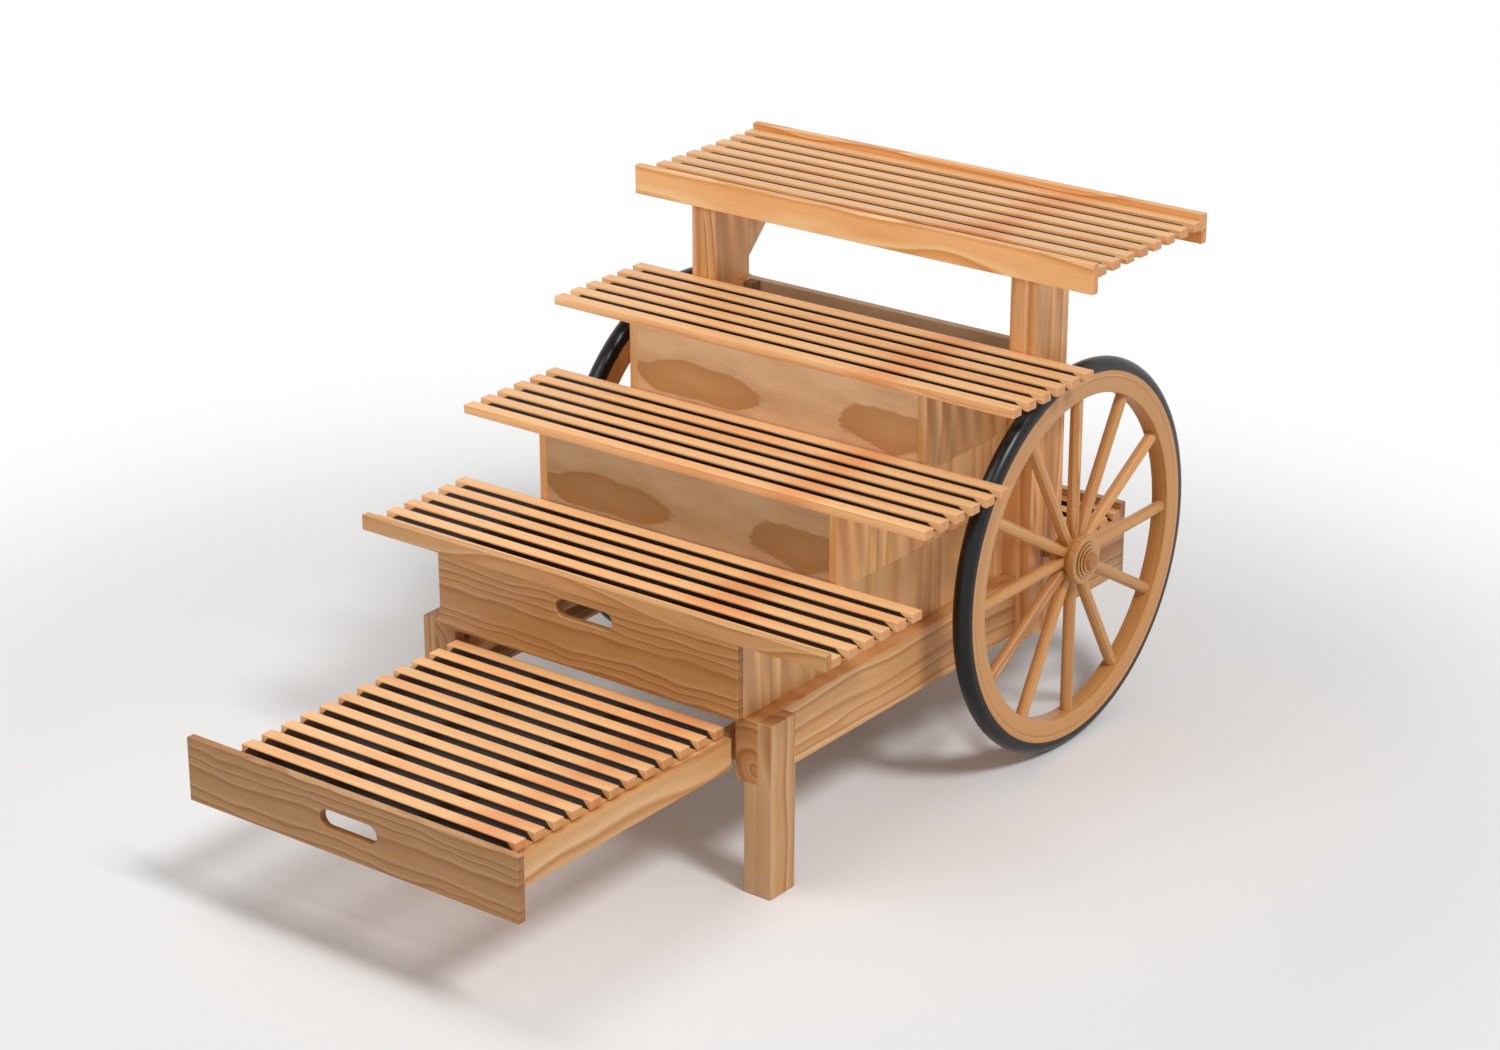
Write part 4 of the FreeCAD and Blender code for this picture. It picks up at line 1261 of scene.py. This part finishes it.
    def hub(self) -> None:
        """Turned hub: barrel, wide flange and three stepped rings round the cap's pocket."""
        inner, x = self.barrel_inner_mm, self.barrel_outer_mm
        ease, mid = self.hub_ease_mm
        profile = [(-inner, self.bore_mm), (-inner, self.barrel_mm - ease),
                   (-inner + ease, self.barrel_mm), (x, self.barrel_mm), (x, self.flange_mm - ease),
                   (x + mid, self.flange_mm - mid), (x + ease, self.flange_mm)]
        x += self.flange_width_mm
        profile += [(x - ease, self.flange_mm), (x - mid, self.flange_mm - mid),
                    (x, self.flange_mm - ease)]
        # painted shade in the steps of the turned rings
        shaded = set()
        for radius in self.rings_mm:
            shaded.add(len(profile))
            profile += [(x, radius), (x + self.ring_step_mm - self.ring_ease_mm, radius)]
            x += self.ring_step_mm
            profile.append((x, radius - self.ring_ease_mm))
        profile += [(x, self.pocket_mm), (x - self.pocket_depth_mm, self.pocket_mm),
                    (x - self.pocket_depth_mm, self.bore_mm)]
        self.turn("hub", profile, self.hub_steps, Finish.TURNED, shaded)

    def turn(self, part: str, profile: Profile, steps: int, finish: Finish,
             shaded: Iterable[int] = ()) -> None:
        """Turns a closed profile about the axle and lets the piece stand for the wheel's node.

        Args:
            part: the last part of the CAD node's name.
            profile: distance outward from the spokes' plane, and radius, in mm.
            steps: how many steps round the wheel.
            finish: the piece's finish.
            shaded: the steps of the profile that get painted shade.
        """
        work = bmesh.new()
        log = work.loops.layers.float_vector.new("log")
        tone, low = work.verts.layers.float.new("tone"), work.verts.layers.float.new("low")
        gap = work.faces.layers.float.new("gap")
        rows = []
        for step in range(steps):
            angle = 2.0 * math.pi * step / steps - math.pi / 2.0
            rows.append([work.verts.new(self.point(out, radius, angle)) for out, radius in profile])
        for step in range(steps):
            ring, after = rows[step], rows[(step + 1) % steps]
            for i in range(len(profile)):
                j = (i + 1) % len(profile)
                face = work.faces.new((ring[i], ring[j], after[j], after[i]))
                face.smooth = True
                face[gap] = self.ring_shade if i in shaded else 0.0
                for loop, corner, turn in zip(face.loops, (i, j, j, i), (0, 0, 1, 1)):
                    loop[log] = self.log_place(part, profile[corner], (step + turn) / steps, loop.vert)
        # low is 1 everywhere, so the painted shade takes a step's whole face
        for vert in work.verts:
            vert[tone] = vert[low] = 1.0
        bmesh.ops.recalc_face_normals(work, faces=work.faces)
        node = f"wheel_{self.side}_{part}"
        mesh = bpy.data.meshes.new(node + "_turned")
        work.to_mesh(mesh)
        work.free()
        mesh.set_sharp_from_angle(angle=math.radians(self.turned_sharp_deg))
        mesh.materials.append(self.shop.finishes[finish])
        self.shop.adopt(new_piece(node + "_turned", mesh), node)

    def point(self, out_mm: float, radius_mm: float, angle: float) -> Vector:
        """A point of the wheel from its distance outward, its radius and its angle."""
        around = Vector((0.0, math.cos(angle), math.sin(angle))) * radius_mm * MM
        return self.middle + around + Vector((self.out * out_mm * MM, 0.0, 0.0))

    def log_place(self, part: str, corner: tuple[float, float], turn: float,
                  vert: bmesh.types.BMVert) -> Vector:
        """Place in the log: round the circle for the bent rim, along the axle for the hub."""
        if part == "rim":
            middle = self.seat_mm - self.rim_height_mm / 2.0
            up, across = self.rim_pith_mm
            return Vector((turn * 2.0 * math.pi * middle, corner[1] - middle + up,
                           corner[0] + across)) * MM
        return vert.co - self.middle + Vector((0.0, *self.hub_pith_mm)) * MM

    def cap(self) -> None:
        """Six-sided cap, from the CAD, sawn from the hub's wood."""
        Joinery(self.shop).saw(Cut(f"wheel_{self.side}_cap", Grain.X, Finish.TURNED, Sawn.RIFT))

    def spoke_ring(self, recipe: NodeRecipe) -> None:
        """Sets the spokes round the hub with the spoke recipe."""
        pattern = new_piece("spoke_pattern", self.spoke_mesh())
        node = f"wheel_{self.side}_spokes"
        right_seed, left_seed = self.spoke_seeds
        piece = recipe.run(node + "_set", {
            "Spoke": pattern, "Count": self.spokes, "Middle": self.middle,
            "Seed": right_seed if self.side == "right" else left_seed,
            "Finish": self.shop.finishes[Finish.TURNED]})
        bpy.data.objects.remove(pattern)
        piece.data.set_sharp_from_angle(angle=math.radians(self.spoke_sharp_deg))
        self.shop.adopt(piece, node)

    def spoke_mesh(self) -> bpy.types.Mesh:
        """One spoke along +Y: round, with two flats that pinch it towards the hub.

        Returns:
            A closed mesh, with each point's place in the log.
        """
        start = self.barrel_mm - self.sunk_mm[0]
        stop = self.seat_mm - self.rim_height_mm + self.sunk_mm[1]
        stations = [(start, self.foot_mm)]
        for share in (0.25, 0.5, 0.75, 1.0):
            reach = start + (self.foot_reach_mm - start) * share
            stations.append((reach, self.foot_mm + (self.spoke_mm - self.foot_mm) * share))
        stations += [(start + (stop - start) * share, self.spoke_mm) for share in (0.5, 0.75, 1.0)]
        sides = self.spoke_sides
        work = bmesh.new()
        rows = []
        for reach, half in stations:
            row = []
            for side in range(sides):
                angle = 2.0 * math.pi * side / sides
                across = max(-half, min(half, self.spoke_mm * math.sin(angle)))
                row.append(work.verts.new(Vector((self.spoke_mm * math.cos(angle), reach, across)) * MM))
            rows.append(row)
        for ring, after in zip(rows, rows[1:]):
            for side in range(sides):
                other = (side + 1) % sides
                work.faces.new((ring[side], ring[other], after[other], after[side])).smooth = True
        work.faces.new(rows[0])
        work.faces.new(rows[-1])
        bmesh.ops.recalc_face_normals(work, faces=work.faces)
        log = work.verts.layers.float_vector.new("log")
        for vert in work.verts:
            vert[log] = (vert.co.y, vert.co.x, vert.co.z)
        mesh = bpy.data.meshes.new("spoke_pattern")
        work.to_mesh(mesh)
        work.free()
        return mesh


@dataclass
class AxleSet:
    """Steel axle with its washers and nuts, all as the CAD has them."""

    shop: Workshop

    def build(self) -> None:
        """Gives the steel its finish."""
        for node in ("axle", "axle_washers", "axle_nuts"):
            self.shop.coat(node, Finish.ZINC)


@dataclass
class Studio:
    """Pale floor, white surroundings, soft lamps and the camera.

    Attributes:
        camera_at: where the camera stands.
        tilt_deg: its rotation about X.
        pan_deg: its rotation about Z.
        lens_mm: its focal length.
        sensor_mm: its sensor's width.
        sky: strength of the even white surroundings.
        sun: strength of the broad lamp from the right.
        sun_from: the direction that its light comes from.
        sun_deg: its angle, which softens the shadows.
        softbox: power of the lamp above the front of the stand, in watts.
        softbox_size: that lamp's side.
        softbox_at: where it stands.
        softbox_from: the direction that its light comes from.
        floor_fade: distances from the middle between which the floor fades to plain white.
        floor_colour: the floor's colour where it takes the shadow.
        floor_size: side of the floor.
        floor_drop: how far it lies below the feet, so that it doesn't cut them.
    """

    camera_at: tuple[float, float, float] = (3.9161, -4.991325, 3.1153)
    tilt_deg: float = 67.929
    pan_deg: float = 37.184
    lens_mm: float = 85.05
    sensor_mm: float = 36.0
    sky: float = 0.42
    sun: float = 1.45
    sun_from: tuple[float, float, float] = (0.62, -0.12, 0.77)
    sun_deg: float = 14.0
    softbox: float = 10.0
    softbox_size: float = 0.9
    softbox_at: tuple[float, float, float] = (-0.2, -1.0, 2.0)
    softbox_from: tuple[float, float, float] = (-0.2, -1.2, 1.4)
    floor_fade: tuple[float, float] = (1.3, 2.6)
    floor_colour: str = "#F7F7F7"
    floor_size: float = 60.0
    floor_drop: float = 0.0006

    def build(self) -> None:
        """Sets up camera, lamps, surroundings and floor."""
        self.camera()
        self.lamps()
        self.surroundings()
        self.floor()
        bpy.context.scene.view_settings.view_transform = "Standard"

    def camera(self) -> None:
        """The camera at the photograph's viewing angle."""
        data = bpy.data.cameras.new("photo_camera")
        data.lens = self.lens_mm
        data.sensor_width = self.sensor_mm
        camera = bpy.data.objects.new("photo_camera", data)
        camera.location = self.camera_at
        camera.rotation_euler = (math.radians(self.tilt_deg), 0.0, math.radians(self.pan_deg))
        bpy.context.scene.collection.objects.link(camera)
        bpy.context.scene.camera = camera

    def lamps(self) -> None:
        """A broad lamp from above and right, and a softbox above the front of the stand."""
        sun = bpy.data.lights.new("broad", "SUN")
        sun.energy = self.sun
        sun.angle = math.radians(self.sun_deg)
        box = bpy.data.lights.new("softbox", "AREA")
        box.energy = self.softbox
        box.size = self.softbox_size
        places = ((sun, (0.0, 0.0, 4.0), self.sun_from), (box, self.softbox_at, self.softbox_from))
        for data, at, towards in places:
            lamp = bpy.data.objects.new(data.name, data)
            lamp.location = at
            lamp.rotation_euler = Vector(towards).to_track_quat("Z", "Y").to_euler()
            bpy.context.scene.collection.objects.link(lamp)

    def surroundings(self) -> None:
        """Even white light; what the camera, metal and glass see is plain white."""
        world = bpy.data.worlds.new("studio")
        world.use_nodes = True
        tree = world.node_tree
        tree.nodes.clear()
        seen = self.seen(tree)
        soft = add(tree, "ShaderNodeBackground", {0: (1.0, 1.0, 1.0, 1.0), 1: self.sky})
        white = add(tree, "ShaderNodeBackground", {0: (1.0, 1.0, 1.0, 1.0), 1: 1.0})
        mixed = add(tree, "ShaderNodeMixShader", {0: seen, 1: soft.outputs[0], 2: white.outputs[0]})
        add(tree, "ShaderNodeOutputWorld", {0: mixed.outputs[0]})
        bpy.context.scene.world = world

    @staticmethod
    def seen(tree: bpy.types.NodeTree) -> bpy.types.NodeSocket:
        """1 where the camera sees a surface straight, in a mirror or through glass."""
        rays = add(tree, "ShaderNodeLightPath").outputs
        mirror = add(tree, "ShaderNodeMath", {0: rays["Is Camera Ray"], 1: rays["Is Glossy Ray"]},
                     operation="MAXIMUM")
        both = add(tree, "ShaderNodeMath", {0: mirror.outputs[0], 1: rays["Is Transmission Ray"]},
                   operation="MAXIMUM")
        return both.outputs[0]

    def floor(self) -> None:
        """A wide pale floor that takes the stand's shadow and fades to white further out."""
        bpy.ops.mesh.primitive_plane_add(size=self.floor_size, location=(0.0, 0.0, -self.floor_drop))
        floor = bpy.context.object
        floor.name = "floor"
        material = new_material("pale_floor")
        tree = material.node_tree
        tree.nodes.clear()
        place = add(tree, "ShaderNodeTexCoord").outputs["Object"]
        far = add(tree, "ShaderNodeVectorMath", {0: place}, operation="LENGTH").outputs["Value"]
        fade = add(tree, "ShaderNodeMapRange", {0: far, 1: self.floor_fade[0], 2: self.floor_fade[1]},
                   interpolation_type="SMOOTHSTEP").outputs[0]
        share = add(tree, "ShaderNodeMath", {0: fade, 1: self.seen(tree)}, operation="MULTIPLY")
        plain = add(tree, "ShaderNodeBsdfDiffuse", {0: linear(self.floor_colour)})
        white = add(tree, "ShaderNodeEmission", {0: (1.0, 1.0, 1.0, 1.0), 1: 1.0})
        mixed = add(tree, "ShaderNodeMixShader", {0: share.outputs[0], 1: plain.outputs[0],
                                                  2: white.outputs[0]})
        add(tree, "ShaderNodeOutputMaterial", {0: mixed.outputs[0]})
        floor.data.materials.append(material)


def main() -> None:
    """Builds the stand's sub-assemblies in order, then the studio."""
    logging.basicConfig(level=logging.INFO, format="%(name)s %(message)s")
    shop = Workshop(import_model())
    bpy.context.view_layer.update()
    slats, spokes = slat_recipe(), spoke_recipe()
    Base(shop).build()
    Crates(shop).build()
    Shelves(shop).build(slats)
    Tray(shop).build(slats)
    for side in ("right", "left"):
        Wheel(shop, side).build(spokes)
    AxleSet(shop).build()
    Studio().build()


if __name__ == "__main__":
    main()
